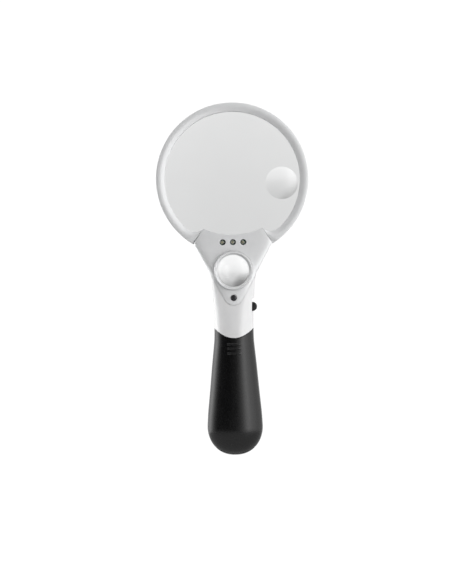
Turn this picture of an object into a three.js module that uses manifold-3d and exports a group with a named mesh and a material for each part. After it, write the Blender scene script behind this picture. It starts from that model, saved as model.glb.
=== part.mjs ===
// A hand-held low vision magnifier with three lamps, a large lens with a stronger spot, and a
// small strong lens in the neck. Millimetres, +Z up the handle to the large lens. -Y is the face
// with the lamps and +X is the side with the switch. The middle plane of the handle is x = 0, and
// the two halves of the case meet on y = 0. The origin is inside the grip, where a hand holds it.

import * as THREE from "three";
import { mergeVertices } from "three/addons/utils/BufferGeometryUtils.js";
import Module from "manifold-3d";

const wasm = await Module();
wasm.setup();

// ---- Driving dimensions ----

const GAP = 0.3; // clearance between pieces that touch
const WALL = 2; // wall of the neck's two shells
const GRIP_HEIGHT = 60; // height of the hand's place above the bottom of the grip

// The large lens and its ring. Radii are measured from the ring's centre.
const RING_Z = 250.3;
const RING_R = 69;
const RING_FRONT = -6.5;
const RING_REAR = 6;
const CREST_R = 66.4; // where the rounded rim stands out most
const OPENING_R = 61.3;
const LENS_R = 64.3;
const LENS_EDGE_FRONT = -1.7;
const LENS_EDGE_REAR = 1.3;
const LENS_BULGE = 3; // how far each face rises from the rim to the middle
const LENS_CHORD_Z = 197.5; // the lens is cut straight here, above the lamps

// The stronger spot moulded on the large lens.
const SPOT_X = 44.9;
const SPOT_Z = 246.5;
const SPOT_R = 14.3;
const SPOT_RISE = 2.5;

// The yoke: a V below the ring whose foot is an arc round the front screw.
const YOKE_TAPER = 0.539; // half width lost for each millimetre down
const YOKE_HALF = 35.4; // half width where the V meets the ring
const YOKE_Z = 191.8;
const HORN_X = 26.8; // the two upper corners, on either side of the lamps
const HORN_Z = 205.4;
const YOKE_ARC_R = 65.8; // hollow top edge, under the lens
const YOKE_ARC_Z = 265.5;
const FOOT_R = 9;
const FOOT_Z = 145;
const TRIM_PROUD = 0.3; // how far the grey trim stands out from the case
const TRIM_SUNK = 0.8;
const TRIM_BACK = -4.8; // the trim wraps round the yoke's edges back to here

// The small lens.
const SMALL_Z = 167;
const BEZEL_R = 17.4;
const BEZEL_FRONT = -12.8;
const SMALL_VISIBLE_R = 14.3;
const SMALL_LENS_R = 17;
const SMALL_EDGE_FRONT = -9.1;
const SMALL_EDGE_REAR = -6.6;
const SMALL_BULGE = 3.3;
const TUNNEL_R = 15;

// Lamps.
const LAMP_Z = 192.8;
const LAMP_PITCH = 9.3;
const LAMP_R = 2.4;
const LAMP_TIP = -7.6;
const BOARD_FRONT = -3.3;
const BOARD_THICK = 1.2;
const WIRE_R = 0.6;

// The slide switch, on the right side of the neck.
const KNOB_Z = 134.5;
const KNOB_HEIGHT = 8.2;
const KNOB_DEPTH_HALF = 5;
const KNOB_SEAT = 16.1;
const KNOB_OUT = 21.2;
const KNOB_TRAVEL = 3;
const STEM_HALF = 1.9;
const STEM_END = 12.4;
const POCKET_FLOOR = 15.7; // the flat pocket in the case that the knob slides in
const POCKET_BACK = 14.1;
const POCKET_HALF = 7.1; // to the front and to the back

// Screws.
const SCREW_Z = 142.5;
const SCREW_SUNK = 0.9; // how far the front screw's seat lies inside the case's face
const SCREW_HEAD_R = 2.7;
const SCREW_SHANK_R = 1.3;
const REAR_SCREW_X = 25;
const REAR_SCREW_Z = 188.7;
const REAR_SCREW_SEAT = 4.7;
const LUG_FRONT = -4.2; // the lugs of the two rings lie between these two faces
const LUG_REAR = 3;

// The grip sleeve, its seam with the neck and its end cap.
const GRIP_WALL = 2.2;
const SEAM_LOW_Z = 106.4; // at the front and the back
const SEAM_RISE = 8.7; // from there to the sides
const SEAM_HALF = 17.6;
const CAP_SEAM_Z = 1.9;
const CAP_SEAM_CURVE = 0.0163;
const RIDGES_Z = [100.8, 97, 92.6];

// The battery holder: three AAA cells round the axis.
const CELL_R = 5.25;
const CELL_LENGTH = 44.5;
const CELL_CIRCLE_R = 6.6;
const HOLDER_BOTTOM = 44.5;
const HOLDER_PLATE = 3;
const HOLDER_TOP = 100.3;
const SPIGOT_HALF = 15;
const SPIGOT_DEPTH = 12.4;

// Sections of the whole case from the bottom up:
// height, half width, depth to the front, depth to the back, squareness of the oval.
const CASE_SECTIONS = [
  [26, 25.2, 17.6, 17.6, 2.2],
  [38, 24.5, 17.6, 17.6, 2.2],
  [60, 22.3, 16.8, 16.8, 2.2],
  [82, 20.3, 16.1, 15.9, 2.2],
  [104, 18, 15.4, 15.1, 2.25],
  [113, 17.8, 15.1, 14.8, 2.3],
  [124, 17.9, 14.2, 13.8, 2.4],
  [134, 18.1, 13, 12.6, 2.5],
  [149, 19.3, 11, 10.6, 2.9],
  [160, 20, 9.8, 9.3, 4.4],
  [164, 20.3, 9.4, 8.8, 5.2],
  [173, 25.3, 8.6, 7.8, 7],
  [182, 30.1, 7.8, 7, 8],
  [191.8, 35.4, 7.3, 6.6, 9],
  [208, 35.4, 7.2, 6.4, 9],
];
const DOME_TOP = CASE_SECTIONS[0][0];

// ---- Solids ----

// A closed three.js geometry as a solid: vertices merged, faces without area dropped, faces out.
function solid(geometry) {
  const bare = geometry.index ? geometry.toNonIndexed() : geometry.clone();
  bare.deleteAttribute("normal");
  bare.deleteAttribute("uv");
  const merged = mergeVertices(bare, 1e-4);
  const points = merged.attributes.position.array;
  const faces = [];
  let volume = 0;
  for (let i = 0; i < merged.index.count; i += 3) {
    const [a, b, c] = [0, 1, 2].map((k) => merged.index.getX(i + k));
    if (a === b || b === c || c === a) continue;
    faces.push(a, b, c);
    const [p, q, r] = [a, b, c].map((k) => new THREE.Vector3().fromArray(points, 3 * k));
    volume += p.dot(q.cross(r));
  }
  if (volume < 0) {
    for (let i = 0; i < faces.length; i += 3) {
      [faces[i + 1], faces[i + 2]] = [faces[i + 2], faces[i + 1]];
    }
  }
  const triVerts = new Uint32Array(faces);
  return new wasm.Manifold(new wasm.Mesh({ numProp: 3, vertProperties: points, triVerts }));
}

function geometryOf(body) {
  const mesh = body.asOriginal().simplify(0.05).getMesh();
  const geometry = new THREE.BufferGeometry();
  geometry.setAttribute("position", new THREE.BufferAttribute(mesh.vertProperties, 3));
  geometry.setIndex(new THREE.BufferAttribute(mesh.triVerts, 1));
  geometry.computeVertexNormals();
  return geometry;
}

const union = (...bodies) => bodies.reduce((whole, body) => whole.add(body));
const without = (body, ...cuts) => cuts.reduce((rest, cut) => rest.subtract(cut), body);

// A box between two corners.
function box([x0, y0, z0], [x1, y1, z1]) {
  const geometry = new THREE.BoxGeometry(x1 - x0, y1 - y0, z1 - z0);
  return solid(geometry.translate((x0 + x1) / 2, (y0 + y1) / 2, (z0 + z1) / 2));
}

// A profile of [radius, y] points turned about a line along Y through (x, z).
function turnedY(profile, x, z, segments = 32) {
  const points = profile.map(([radius, y]) => new THREE.Vector2(radius, y));
  return solid(new THREE.LatheGeometry(points, segments).translate(x, 0, z));
}

// A profile of [radius, z] points turned about a line along Z through (x, y).
function turnedZ(profile, x, y, segments = 20) {
  const points = profile.map(([radius, height]) => new THREE.Vector2(radius, height));
  const geometry = new THREE.LatheGeometry(points, segments).rotateX(Math.PI / 2);
  return solid(geometry.translate(x, y, 0));
}

// A round bar along Y.
function rodY(radius, y0, y1, x, z, segments = 16) {
  return turnedY([[0, y0], [radius, y0], [radius, y1], [0, y1]], x, z, segments);
}

// An outline in (x, z) carried along Y.
function sheetY(shape, y0, y1, curveSegments = 10) {
  const settings = { depth: y1 - y0, bevelEnabled: false, curveSegments };
  const geometry = new THREE.ExtrudeGeometry(shape, settings).rotateX(Math.PI / 2);
  return solid(geometry.translate(0, y1, 0));
}

// A round wire through points.
function wire(points, radius, steps, sides = 8) {
  const path = new THREE.CatmullRomCurve3(points.map((point) => new THREE.Vector3(...point)));
  const section = new THREE.Shape().absarc(0, 0, radius, 0, 2 * Math.PI);
  const settings = { steps, extrudePath: path, curveSegments: sides / 2 };
  return solid(new THREE.ExtrudeGeometry(section, settings));
}

// ---- The case as one form ----

// The oval section at a height, drawn in by an offset. The bottom is a dome.
function caseSection(height, offset) {
  const dome = DOME_TOP + Math.min(offset, 0);
  const [first] = CASE_SECTIONS;
  if (height < DOME_TOP) {
    const fall = Math.min(Math.max((DOME_TOP - height) / dome, 0), 1);
    const round = Math.pow(1 - fall * fall, 1 / 2.25);
    const [half, front, rear] = [1, 2, 3].map((k) => round * (first[k] + offset));
    return [half, front, rear, first[4]];
  }
  const above = CASE_SECTIONS.findIndex((section) => section[0] >= height);
  const upper = above < 0 ? CASE_SECTIONS.at(-1) : CASE_SECTIONS[above];
  const lower = CASE_SECTIONS[Math.max(above - 1, 0)];
  const part = upper === lower ? 0 : Math.min((height - lower[0]) / (upper[0] - lower[0]), 1);
  const blend = (k) => THREE.MathUtils.lerp(lower[k], upper[k], part);
  return [blend(1) + offset, blend(2) + offset, blend(3) + offset, blend(4)];
}

// The form between two heights, as ovals stacked up Z.
function caseForm(bottom, top, offset, segments = 32) {
  const domeHeights = [0, 0.7, 2, 4, 7, 11, 17].map((height) => height - Math.min(offset, 0));
  const heights = [...domeHeights, ...CASE_SECTIONS.map(([height]) => height)];
  const inside = heights.filter((height) => height > bottom + 0.5 && height < top - 0.5);
  const levels = [bottom, ...inside, top];
  return stackedOvals(levels, (height) => caseSection(height, offset), segments);
}

// A coordinate's sign and size raised to a power, with rounding errors taken as nought.
function signedPower(value, power) {
  return Math.abs(value) < 1e-9 ? 0 : Math.sign(value) * Math.pow(Math.abs(value), power);
}

function stackedOvals(levels, sectionAt, segments = 32) {
  const ends = [new THREE.Vector2(0, levels[0]), new THREE.Vector2(0, levels.at(-1))];
  const rings = levels.map((height) => new THREE.Vector2(1, height));
  const geometry = new THREE.LatheGeometry([ends[0], ...rings, ends[1]], segments).rotateX(Math.PI / 2);
  const position = geometry.attributes.position;
  for (let i = 0; i < position.count; i += 1) {
    const radius = Math.hypot(position.getX(i), position.getY(i));
    const angle = Math.atan2(position.getY(i), position.getX(i));
    const [half, front, rear, squareness] = sectionAt(position.getZ(i));
    const x = half * signedPower(Math.cos(angle), 2 / squareness);
    const depth = angle < 0 ? front : rear;
    const y = depth * signedPower(Math.sin(angle), 2 / squareness);
    position.setXY(i, radius * x, radius * y);
  }
  return solid(geometry);
}

// ---- Outlines seen from the front, in (x, z) ----

// The V of the trim. A positive margin makes it larger all round.
function yokeOutline(margin) {
  const slope = Math.atan(YOKE_TAPER);
  const side = YOKE_HALF + margin / Math.cos(slope);
  const horn = HORN_X + margin * 0.9;
  const hornTop = HORN_Z + margin * 0.6;
  const arcR = YOKE_ARC_R - margin;
  const arcHalf = Math.asin(horn / arcR);
  const shape = new THREE.Shape();
  shape.moveTo(side, YOKE_Z);
  shape.lineTo(horn, hornTop);
  const arcFrom = -Math.PI / 2 + arcHalf;
  const arcTo = -Math.PI / 2 - arcHalf;
  shape.absarc(0, YOKE_ARC_Z, arcR, arcFrom, arcTo, true);
  shape.lineTo(-horn, hornTop);
  shape.lineTo(-side, YOKE_Z);
  shape.absarc(0, FOOT_Z, FOOT_R + margin, Math.PI + slope, 2 * Math.PI - slope, false);
  shape.closePath();
  return shape;
}

// The case above the grip: its lower edge is a hollow curve, its upper edge the top of the yoke.
function caseOutline(margin) {
  const far = 60;
  const horn = HORN_X - margin;
  const arcR = YOKE_ARC_R + margin;
  const arcHalf = Math.asin(horn / arcR);
  const shape = new THREE.Shape();
  const edge = seamPoints(GAP / 2);
  shape.moveTo(far, edge[0][1]);
  edge.forEach(([x, z]) => shape.lineTo(x, z));
  shape.lineTo(-far, edge.at(-1)[1]);
  shape.lineTo(-far, YOKE_Z - margin);
  shape.lineTo(-YOKE_HALF + margin, YOKE_Z - margin);
  shape.lineTo(-horn, HORN_Z - 1.2 * margin);
  shape.absarc(0, YOKE_ARC_Z, arcR, -Math.PI / 2 - arcHalf, -Math.PI / 2 + arcHalf, false);
  shape.lineTo(YOKE_HALF - margin, YOKE_Z - margin);
  shape.lineTo(far, YOKE_Z - margin);
  shape.closePath();
  return shape;
}

// The seam between neck and grip, from right to left, raised by a margin.
function seamPoints(margin) {
  const steps = 12;
  return Array.from({ length: steps + 1 }, (_, k) => {
    const x = SEAM_HALF * (1 - (2 * k) / steps);
    return [x, SEAM_LOW_Z + SEAM_RISE * (x / SEAM_HALF) ** 2 + margin];
  });
}

// Everything below the seam between neck and grip.
function belowSeam() {
  const far = 60;
  const shape = new THREE.Shape();
  const edge = seamPoints(-GAP / 2);
  shape.moveTo(far, -1);
  shape.lineTo(far, edge[0][1]);
  edge.forEach(([x, z]) => shape.lineTo(x, z));
  shape.lineTo(-far, edge.at(-1)[1]);
  shape.lineTo(-far, -1);
  shape.closePath();
  return sheetY(shape, -60, 60);
}

// Everything below the seam between the sleeve and its end cap.
function belowCapSeam(margin) {
  const [half, steps] = [30, 16];
  const shape = new THREE.Shape();
  shape.moveTo(half, -5);
  for (let k = 0; k <= steps; k += 1) {
    const x = half * (1 - (2 * k) / steps);
    shape.lineTo(x, CAP_SEAM_Z + CAP_SEAM_CURVE * x * x + margin);
  }
  shape.lineTo(-half, -5);
  shape.closePath();
  return sheetY(shape, -60, 60);
}

// ---- The large lens and its ring ----

const lensFace = (radius) => LENS_BULGE * (1 - (radius / LENS_R) ** 2);

// The lens's own form, or a larger one that clears it.
function lensForm(margin) {
  const steps = 4;
  const radii = Array.from({ length: steps }, (_, k) => (LENS_R * k) / steps);
  const front = radii.map((radius) => [radius, LENS_EDGE_FRONT - margin - lensFace(radius)]);
  const rear = radii.map((radius) => [radius, LENS_EDGE_REAR + margin + lensFace(radius)]);
  const rim = [
    [LENS_R + margin, LENS_EDGE_FRONT - margin],
    [LENS_R + margin, LENS_EDGE_REAR + margin],
  ];
  const whole = turnedY([...front, ...rim, ...rear.reverse()], 0, RING_Z, 64);
  const chord = box([-80, -20, 150], [80, 20, LENS_CHORD_Z - margin]);
  return whole.subtract(chord);
}

function spot() {
  const sphereR = (SPOT_R ** 2 + SPOT_RISE ** 2) / (2 * SPOT_RISE);
  const reach = Math.asin((SPOT_R + 0.9) / sphereR);
  const arc = Array.from({ length: 6 }, (_, k) => {
    const angle = (reach * k) / 5;
    return [sphereR * Math.sin(angle), sphereR * (1 - Math.cos(angle)) - SPOT_RISE];
  });
  const points = [...arc, [SPOT_R + 0.9, 1.2], [0, 1.2]].map(([r, y]) => new THREE.Vector2(r, y));
  const tilt = (2 * LENS_BULGE * SPOT_X) / LENS_R ** 2;
  const faceY = LENS_EDGE_FRONT - lensFace(Math.hypot(SPOT_X, SPOT_Z - RING_Z));
  const cap = new THREE.LatheGeometry(points, 32).rotateZ(tilt).translate(SPOT_X, faceY, SPOT_Z);
  return solid(cap);
}

const mainLens = () => lensForm(0).add(spot());

// A tongue of a ring that runs on inside the yoke and ends in a lug with a screw hole.
function tongue(side, y0, y1, margin) {
  const profile = [
    [LENS_R + GAP + 0.1 - margin, y0 - margin],
    [68.2 + margin, y0 - margin],
    [68.2 + margin, y1 + margin],
    [LENS_R + GAP + 0.1 - margin, y1 + margin],
  ];
  profile.push(profile[0]);
  const ring = turnedY(profile, 0, RING_Z, 64);
  const nearX = side * (REAR_SCREW_X - 4);
  const farX = side * (YOKE_HALF + 4);
  const [x0, x1] = [Math.min(nearX, farX), Math.max(nearX, farX)];
  const sector = ring.intersect(box([x0 - margin, -20, 170], [x1 + margin, 20, 205]));
  const lug = rodY(3.6 + margin, y0 - margin, y1 + margin, side * REAR_SCREW_X, REAR_SCREW_Z);
  return sector.add(lug);
}

// The web between the round opening and the horn of the yoke, on one side.
function shoulder(side, y0, y1) {
  const shape = new THREE.Shape();
  shape.moveTo(side * (HORN_X + 0.1), HORN_Z + 0.3);
  shape.quadraticCurveTo(side * 33.5, 199.6, side * 41.8, 205.6);
  shape.lineTo(side * 45, 200);
  shape.lineTo(side * 36, 192.6);
  shape.lineTo(side * 28, 192.6);
  shape.closePath();
  return sheetY(shape, y0, y1);
}

function yokeCut() {
  return sheetY(yokeOutline(GAP), -30, 30);
}

const bothSides = (make) => make(-1).add(make(1));

function frontRing() {
  const bend = 2.8;
  const curve = 0.055;
  const bendY = RING_FRONT + curve * bend ** 2;
  const fallY = bendY + 2 * curve * bend * (CREST_R - bend - OPENING_R);
  const fall = [
    [CREST_R - bend / 2, RING_FRONT + curve * (bend / 2) ** 2],
    [CREST_R - bend, bendY],
    [OPENING_R, fallY],
  ];
  const profile = [
    [RING_R, -GAP / 2],
    [RING_R, RING_FRONT + 0.8],
    [RING_R - 0.4, RING_FRONT + 0.3],
    [RING_R - 1.4, RING_FRONT + 0.06],
    [CREST_R, RING_FRONT],
    ...fall,
    [OPENING_R, LENS_EDGE_FRONT - 0.75],
    [LENS_R + GAP, LENS_EDGE_FRONT - GAP],
    [LENS_R + GAP, -GAP / 2],
  ];
  profile.push(profile[0]);
  const ring = turnedY(profile, 0, RING_Z, 64);
  const lugs = bothSides((side) => tongue(side, LUG_FRONT, -GAP / 2, 0));
  const webs = bothSides((side) => shoulder(side, -5.4, -2.4));
  const open = without(union(ring, webs), yokeCut(), lensForm(GAP));
  return withScrewHoles(open.add(lugs));
}

function rearRing() {
  const profile = [
    [RING_R, GAP / 2],
    [LENS_R + GAP, GAP / 2],
    [LENS_R + GAP, LENS_EDGE_REAR + GAP],
    [OPENING_R, LENS_EDGE_REAR + 0.75],
    [OPENING_R, RING_REAR - 1.5],
    [OPENING_R + 1.2, RING_REAR],
    [RING_R - 2, RING_REAR],
    [RING_R - 0.6, RING_REAR - 0.6],
    [RING_R, RING_REAR - 2],
  ];
  profile.push(profile[0]);
  const ring = turnedY(profile, 0, RING_Z, 64);
  const lugs = bothSides((side) => tongue(side, GAP / 2, LUG_REAR, 0));
  const webs = bothSides((side) => shoulder(side, 2.1, 4.8));
  const open = without(union(ring, webs), yokeCut(), lensForm(GAP));
  return withScrewHoles(open.add(lugs));
}

// Clearance holes for the two rear screws.
function withScrewHoles(body) {
  const hole = (side) => rodY(SCREW_SHANK_R + GAP, -20, 20, side * REAR_SCREW_X, REAR_SCREW_Z, 16);
  return body.subtract(bothSides(hole));
}

// ---- The two shells of the neck ----

const innerSpigotHalf = SPIGOT_HALF - WALL;
const innerSpigotDepth = SPIGOT_DEPTH - WALL;
const frontScrewSeat = SCREW_SUNK - caseSection(SCREW_Z, 0)[1];

function spigot(half, depth, bottom, top) {
  return stackedOvals([bottom, top], () => [half, depth, depth, 2.3]);
}

// Both shells as one hollow body, before they part on y = 0.
function hollowCase() {
  const outside = caseForm(90, 212, 0).intersect(sheetY(caseOutline(0.4), -40, 40));
  const plug = spigot(SPIGOT_HALF, SPIGOT_DEPTH, HOLDER_TOP + GAP, 118);
  const hollow = caseForm(116, 212, -WALL).intersect(sheetY(caseOutline(0.4 + WALL), -40, 40));
  const bore = spigot(innerSpigotHalf, innerSpigotDepth, HOLDER_TOP - 1, 117);
  const collar = spigot(innerSpigotHalf + 1, innerSpigotDepth + 1, 104, 106.9);
  const collarHole = spigot(9.9, 7.3, 103, 108);
  const walls = without(outside.add(plug), hollow, bore);
  return walls.add(collar.subtract(collarHole));
}

// Where a shell holds screws, the small lens and the board.
const pocketZ0 = KNOB_Z - KNOB_HEIGHT / 2 - GAP;
const pocketZ1 = KNOB_Z + KNOB_HEIGHT / 2 + KNOB_TRAVEL + GAP;

function caseInserts() {
  const tunnel = rodY(TUNNEL_R + 1.6, -9, 9, 0, SMALL_Z, 28);
  const seat = rodY(SMALL_LENS_R + GAP + 1.7, -9, SMALL_EDGE_REAR + GAP + 1.5, 0, SMALL_Z, 28);
  const boss = rodY(3.6, -11.5, 11.5, 0, SCREW_Z);
  const pillars = bothSides((side) => rodY(3.6, -6.4, 6, side * REAR_SCREW_X, REAR_SCREW_Z));
  const rim = 1.5;
  const behindPocket = box(
    [POCKET_BACK, -POCKET_HALF - rim, pocketZ0 - rim],
    [POCKET_FLOOR + rim, POCKET_HALF + rim, pocketZ1 + rim],
  );
  return union(tunnel, seat, boss, pillars, behindPocket);
}

function caseCuts() {
  const bezelBore = rodY(BEZEL_R + GAP, -30, SMALL_EDGE_FRONT - GAP, 0, SMALL_Z, 28);
  const lensBore = rodY(SMALL_LENS_R + GAP, -12, SMALL_EDGE_REAR + GAP, 0, SMALL_Z, 28);
  const view = rodY(TUNNEL_R, -30, 30, 0, SMALL_Z, 28);
  const shank = rodY(SCREW_SHANK_R + GAP, -30, 8, 0, SCREW_Z, 16);
  const lamps = [-1, 0, 1].map((k) => rodY(LAMP_R + 0.5, -20, -4, k * LAMP_PITCH, LAMP_Z, 20));
  const slotZ0 = KNOB_Z - STEM_HALF - GAP;
  const slotZ1 = KNOB_Z + STEM_HALF + KNOB_TRAVEL + GAP;
  const slot = box([POCKET_BACK - 1, -1.7, slotZ0], [30, 1.7, slotZ1]);
  const pocket = box([POCKET_FLOOR, -POCKET_HALF, pocketZ0], [30, POCKET_HALF, pocketZ1]);
  const tongues = bothSides((side) => tongue(side, LUG_FRONT, LUG_REAR, GAP));
  const rearHeads = bothSides((side) => {
    return rodY(SCREW_HEAD_R + GAP, REAR_SCREW_SEAT - GAP, 20, side * REAR_SCREW_X, REAR_SCREW_Z);
  });
  const rearShanks = bothSides((side) => {
    return rodY(SCREW_SHANK_R + GAP, -5.7, 20, side * REAR_SCREW_X, REAR_SCREW_Z, 16);
  });
  const head = rodY(SCREW_HEAD_R + GAP, -30, frontScrewSeat + GAP, 0, SCREW_Z);
  const wireWay = box([-1.2, -9.9, 103], [1.2, -7, 108]);
  const round = [bezelBore, lensBore, view, shank, head, ...lamps];
  return [...round, slot, pocket, tongues, rearHeads, rearShanks, wireWay];
}

function wholeCase() {
  const filled = hollowCase().add(caseInserts().intersect(caseForm(120, 212, -0.5)));
  return without(filled, ...caseCuts(), lensForm(GAP));
}

// The bed that the trim lies in.
function trimBed() {
  const around = sheetY(yokeOutline(GAP), -30, TRIM_BACK + GAP);
  return around.subtract(caseForm(90, 212, -TRIM_SUNK - GAP));
}

function frontTrim() {
  const layer = caseForm(90, 212, TRIM_PROUD).subtract(caseForm(88, 214, -TRIM_SUNK));
  const plate = layer.intersect(sheetY(yokeOutline(0), -30, TRIM_BACK));
  const lamps = [-1, 0, 1].map((k) => rodY(LAMP_R + GAP, -20, 0, k * LAMP_PITCH, LAMP_Z, 20));
  const bezel = rodY(BEZEL_R + GAP, -30, 0, 0, SMALL_Z, 28);
  const head = rodY(SCREW_HEAD_R + GAP, -30, 0, 0, SCREW_Z);
  return without(plate, ...lamps, bezel, head, lensForm(GAP));
}

function neckShell(side, body) {
  const far = 60;
  const half = side < 0
    ? box([-far, -far, 80], [far, -GAP / 2, 230])
    : box([-far, GAP / 2, 80], [far, far, 230]);
  const [largest] = body.intersect(half).decompose().sort((a, b) => b.volume() - a.volume());
  return largest;
}

// ---- The small lens ----

function smallLens() {
  const steps = 4;
  const clear = SMALL_VISIBLE_R + 0.6;
  const radii = Array.from({ length: steps + 1 }, (_, k) => (clear * k) / steps);
  const bulge = (radius) => SMALL_BULGE * (1 - (radius / clear) ** 2);
  const front = radii.map((radius) => [radius, SMALL_EDGE_FRONT - bulge(radius)]);
  const rear = radii.map((radius) => [radius, SMALL_EDGE_REAR + bulge(radius)]);
  const rim = [[SMALL_LENS_R, SMALL_EDGE_FRONT], [SMALL_LENS_R, SMALL_EDGE_REAR]];
  return turnedY([...front, ...rim, ...rear.reverse()], 0, SMALL_Z, 28);
}

function smallBezel() {
  const back = SMALL_EDGE_FRONT - GAP;
  const profile = [
    [BEZEL_R, back],
    [BEZEL_R, BEZEL_FRONT + 0.8],
    [BEZEL_R - 0.8, BEZEL_FRONT],
    [SMALL_VISIBLE_R + 1.6, BEZEL_FRONT],
    [SMALL_VISIBLE_R, BEZEL_FRONT + 2],
    [SMALL_VISIBLE_R + 0.9, back],
  ];
  profile.push(profile[0]);
  return turnedY(profile, 0, SMALL_Z, 36);
}

// ---- Lamps and electrics ----

const lampLegs = [-1.27, 1.27];

// A lamp on its own axis: the flange is at the origin, the dome looks along -Y.
function lamp() {
  const length = BOARD_FRONT - GAP - LAMP_TIP;
  const straight = length - LAMP_R * 0.9;
  const dome = [1, 2, 3].map((k) => {
    const angle = (k * Math.PI) / 8;
    return [LAMP_R * Math.cos(angle), -straight - LAMP_R * 0.9 * Math.sin(angle)];
  });
  const flange = [[0, 0], [2.75, 0], [2.75, -0.9], [LAMP_R, -0.9]];
  const profile = [...flange, [LAMP_R, -straight], ...dome, [0, -length]];
  const legs = lampLegs.map((x) => box([x - 0.25, -0.4, -0.25], [x + 0.25, 3.2, 0.25]));
  return union(turnedY(profile, 0, 0, 16), ...legs);
}

function lampBoard() {
  const plate = box([-15, BOARD_FRONT, LAMP_Z - 7.3], [15, BOARD_FRONT + BOARD_THICK, LAMP_Z + 3.7]);
  const holes = [-1, 0, 1].flatMap((k) => lampLegs.map((x) => {
    return rodY(0.62, -10, 5, k * LAMP_PITCH + x, LAMP_Z, 8);
  }));
  return without(plate, ...holes);
}

function resistor() {
  const profile = [[0, -5], [0.25, -5], [0.25, -3], [0.9, -2.6], [0.9, 2.6], [0.25, 3], [0.25, 5], [0, 5]];
  return turnedZ(profile, 0, 0, 12);
}

function switchBody() {
  const middle = KNOB_Z + KNOB_TRAVEL / 2;
  const can = box([8.9, -2.5, middle - 5.6], [POCKET_BACK - GAP, 2.5, middle + 5.6]);
  const channelZ0 = KNOB_Z - STEM_HALF - GAP;
  const channelZ1 = KNOB_Z + STEM_HALF + KNOB_TRAVEL + GAP;
  const channel = box([STEM_END - 0.4, -1.7, channelZ0], [20, 1.7, channelZ1]);
  const pins = [-2.5, 0, 2.5].map((z) => box([6.7, -0.6, middle + z - 0.3], [9.4, 0.6, middle + z + 0.3]));
  return union(can.subtract(channel), ...pins);
}

function switchKnob() {
  const half = KNOB_HEIGHT / 2;
  const flank = KNOB_SEAT + 1;
  const thumb = new THREE.Shape();
  thumb.moveTo(KNOB_SEAT, KNOB_Z - half);
  thumb.lineTo(flank, KNOB_Z - half);
  thumb.absellipse(flank, KNOB_Z, KNOB_OUT - flank, half, -Math.PI / 2, Math.PI / 2, false);
  thumb.lineTo(KNOB_SEAT, KNOB_Z + half);
  thumb.closePath();
  const stem = box([STEM_END, -1.4, KNOB_Z - STEM_HALF], [KNOB_SEAT + 0.5, 1.4, KNOB_Z + STEM_HALF]);
  return sheetY(thumb, -KNOB_DEPTH_HALF, KNOB_DEPTH_HALF, 12).add(stem);
}

// A screw with its head at the origin, driven along +Y, with a cross recess.
function screw(headHeight, length) {
  const profile = [
    [0, -headHeight],
    [SCREW_HEAD_R - 0.7, -headHeight],
    [SCREW_HEAD_R, -headHeight + 0.6],
    [SCREW_HEAD_R, 0],
    [SCREW_SHANK_R, 0],
    [SCREW_SHANK_R, length - 1],
    [0.4, length],
    [0, length],
  ];
  const arm = (x, z) => box([-x, -headHeight - 1, -z], [x, -headHeight + 0.7, z]);
  return without(turnedY(profile, 0, 0, 14), arm(1.6, 0.35), arm(0.35, 1.6));
}

// ---- Battery holder ----

const cellAngles = [90, 210, 330].map(THREE.MathUtils.degToRad);
const cellPlaces = cellAngles.map((angle) => [
  CELL_CIRCLE_R * Math.cos(angle),
  CELL_CIRCLE_R * Math.sin(angle),
]);
const plateDepth = SPIGOT_DEPTH - 0.2;
const plateHalf = SPIGOT_HALF - 0.2;
const contactThick = 0.4;
const springHeight = 3;
const floorZ = HOLDER_BOTTOM + HOLDER_PLATE;
const ceilingZ = HOLDER_TOP - HOLDER_PLATE;

function batteryHolder() {
  const bottom = spigot(plateHalf, plateDepth, HOLDER_BOTTOM, floorZ);
  const top = spigot(plateHalf, plateDepth, ceilingZ, HOLDER_TOP);
  const stem = spigot(9.6, 7, HOLDER_TOP - 1, 109);
  const flange = spigot(12.6, 10, 107.2, 110.2);
  const rail = (side) => {
    const [x0, x1] = [side * 11.4, side * 14.3];
    return box([Math.min(x0, x1), -4.2, floorZ - 1], [Math.max(x0, x1), 4.2, ceilingZ + 1]);
  };
  const wireWay = box([-1.2, -20, HOLDER_BOTTOM - 5], [1.2, -7.4, HOLDER_TOP + 0.1]);
  const throat = turnedZ([[0, ceilingZ - 1], [4, ceilingZ - 1], [4, 120], [0, 120]], 0, 0);
  const side = box([-1.2, -20, HOLDER_TOP - 0.2], [1.2, -2, 102.6]);
  const frontNotch = box([-1.2, -20, HOLDER_TOP - 0.2], [1.2, -6.2, 120]);
  return without(union(bottom, top, stem, flange, bothSides(rail)), wireWay, throat, side, frontNotch);
}

// An AAA cell standing on the origin with its button up.
function cell() {
  const body = CELL_LENGTH - 1;
  const profile = [
    [0, 0],
    [CELL_R - 0.5, 0],
    [CELL_R, 0.5],
    [CELL_R, body - 0.5],
    [CELL_R - 0.5, body],
    [1.9, body],
    [1.9, CELL_LENGTH],
    [0, CELL_LENGTH],
  ];
  return turnedZ(profile, 0, 0, 18);
}

// A narrowing coil spring standing on the origin.
function spring() {
  const turns = 2.5;
  const steps = 40;
  const points = Array.from({ length: steps + 1 }, (_, k) => {
    const part = k / steps;
    const angle = 2 * Math.PI * turns * part;
    const radius = 3.4 - 1.4 * part;
    return [radius * Math.cos(angle), radius * Math.sin(angle), 0.3 + (springHeight - 0.6) * part];
  });
  return wire(points, 0.28, 26, 6);
}

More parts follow.
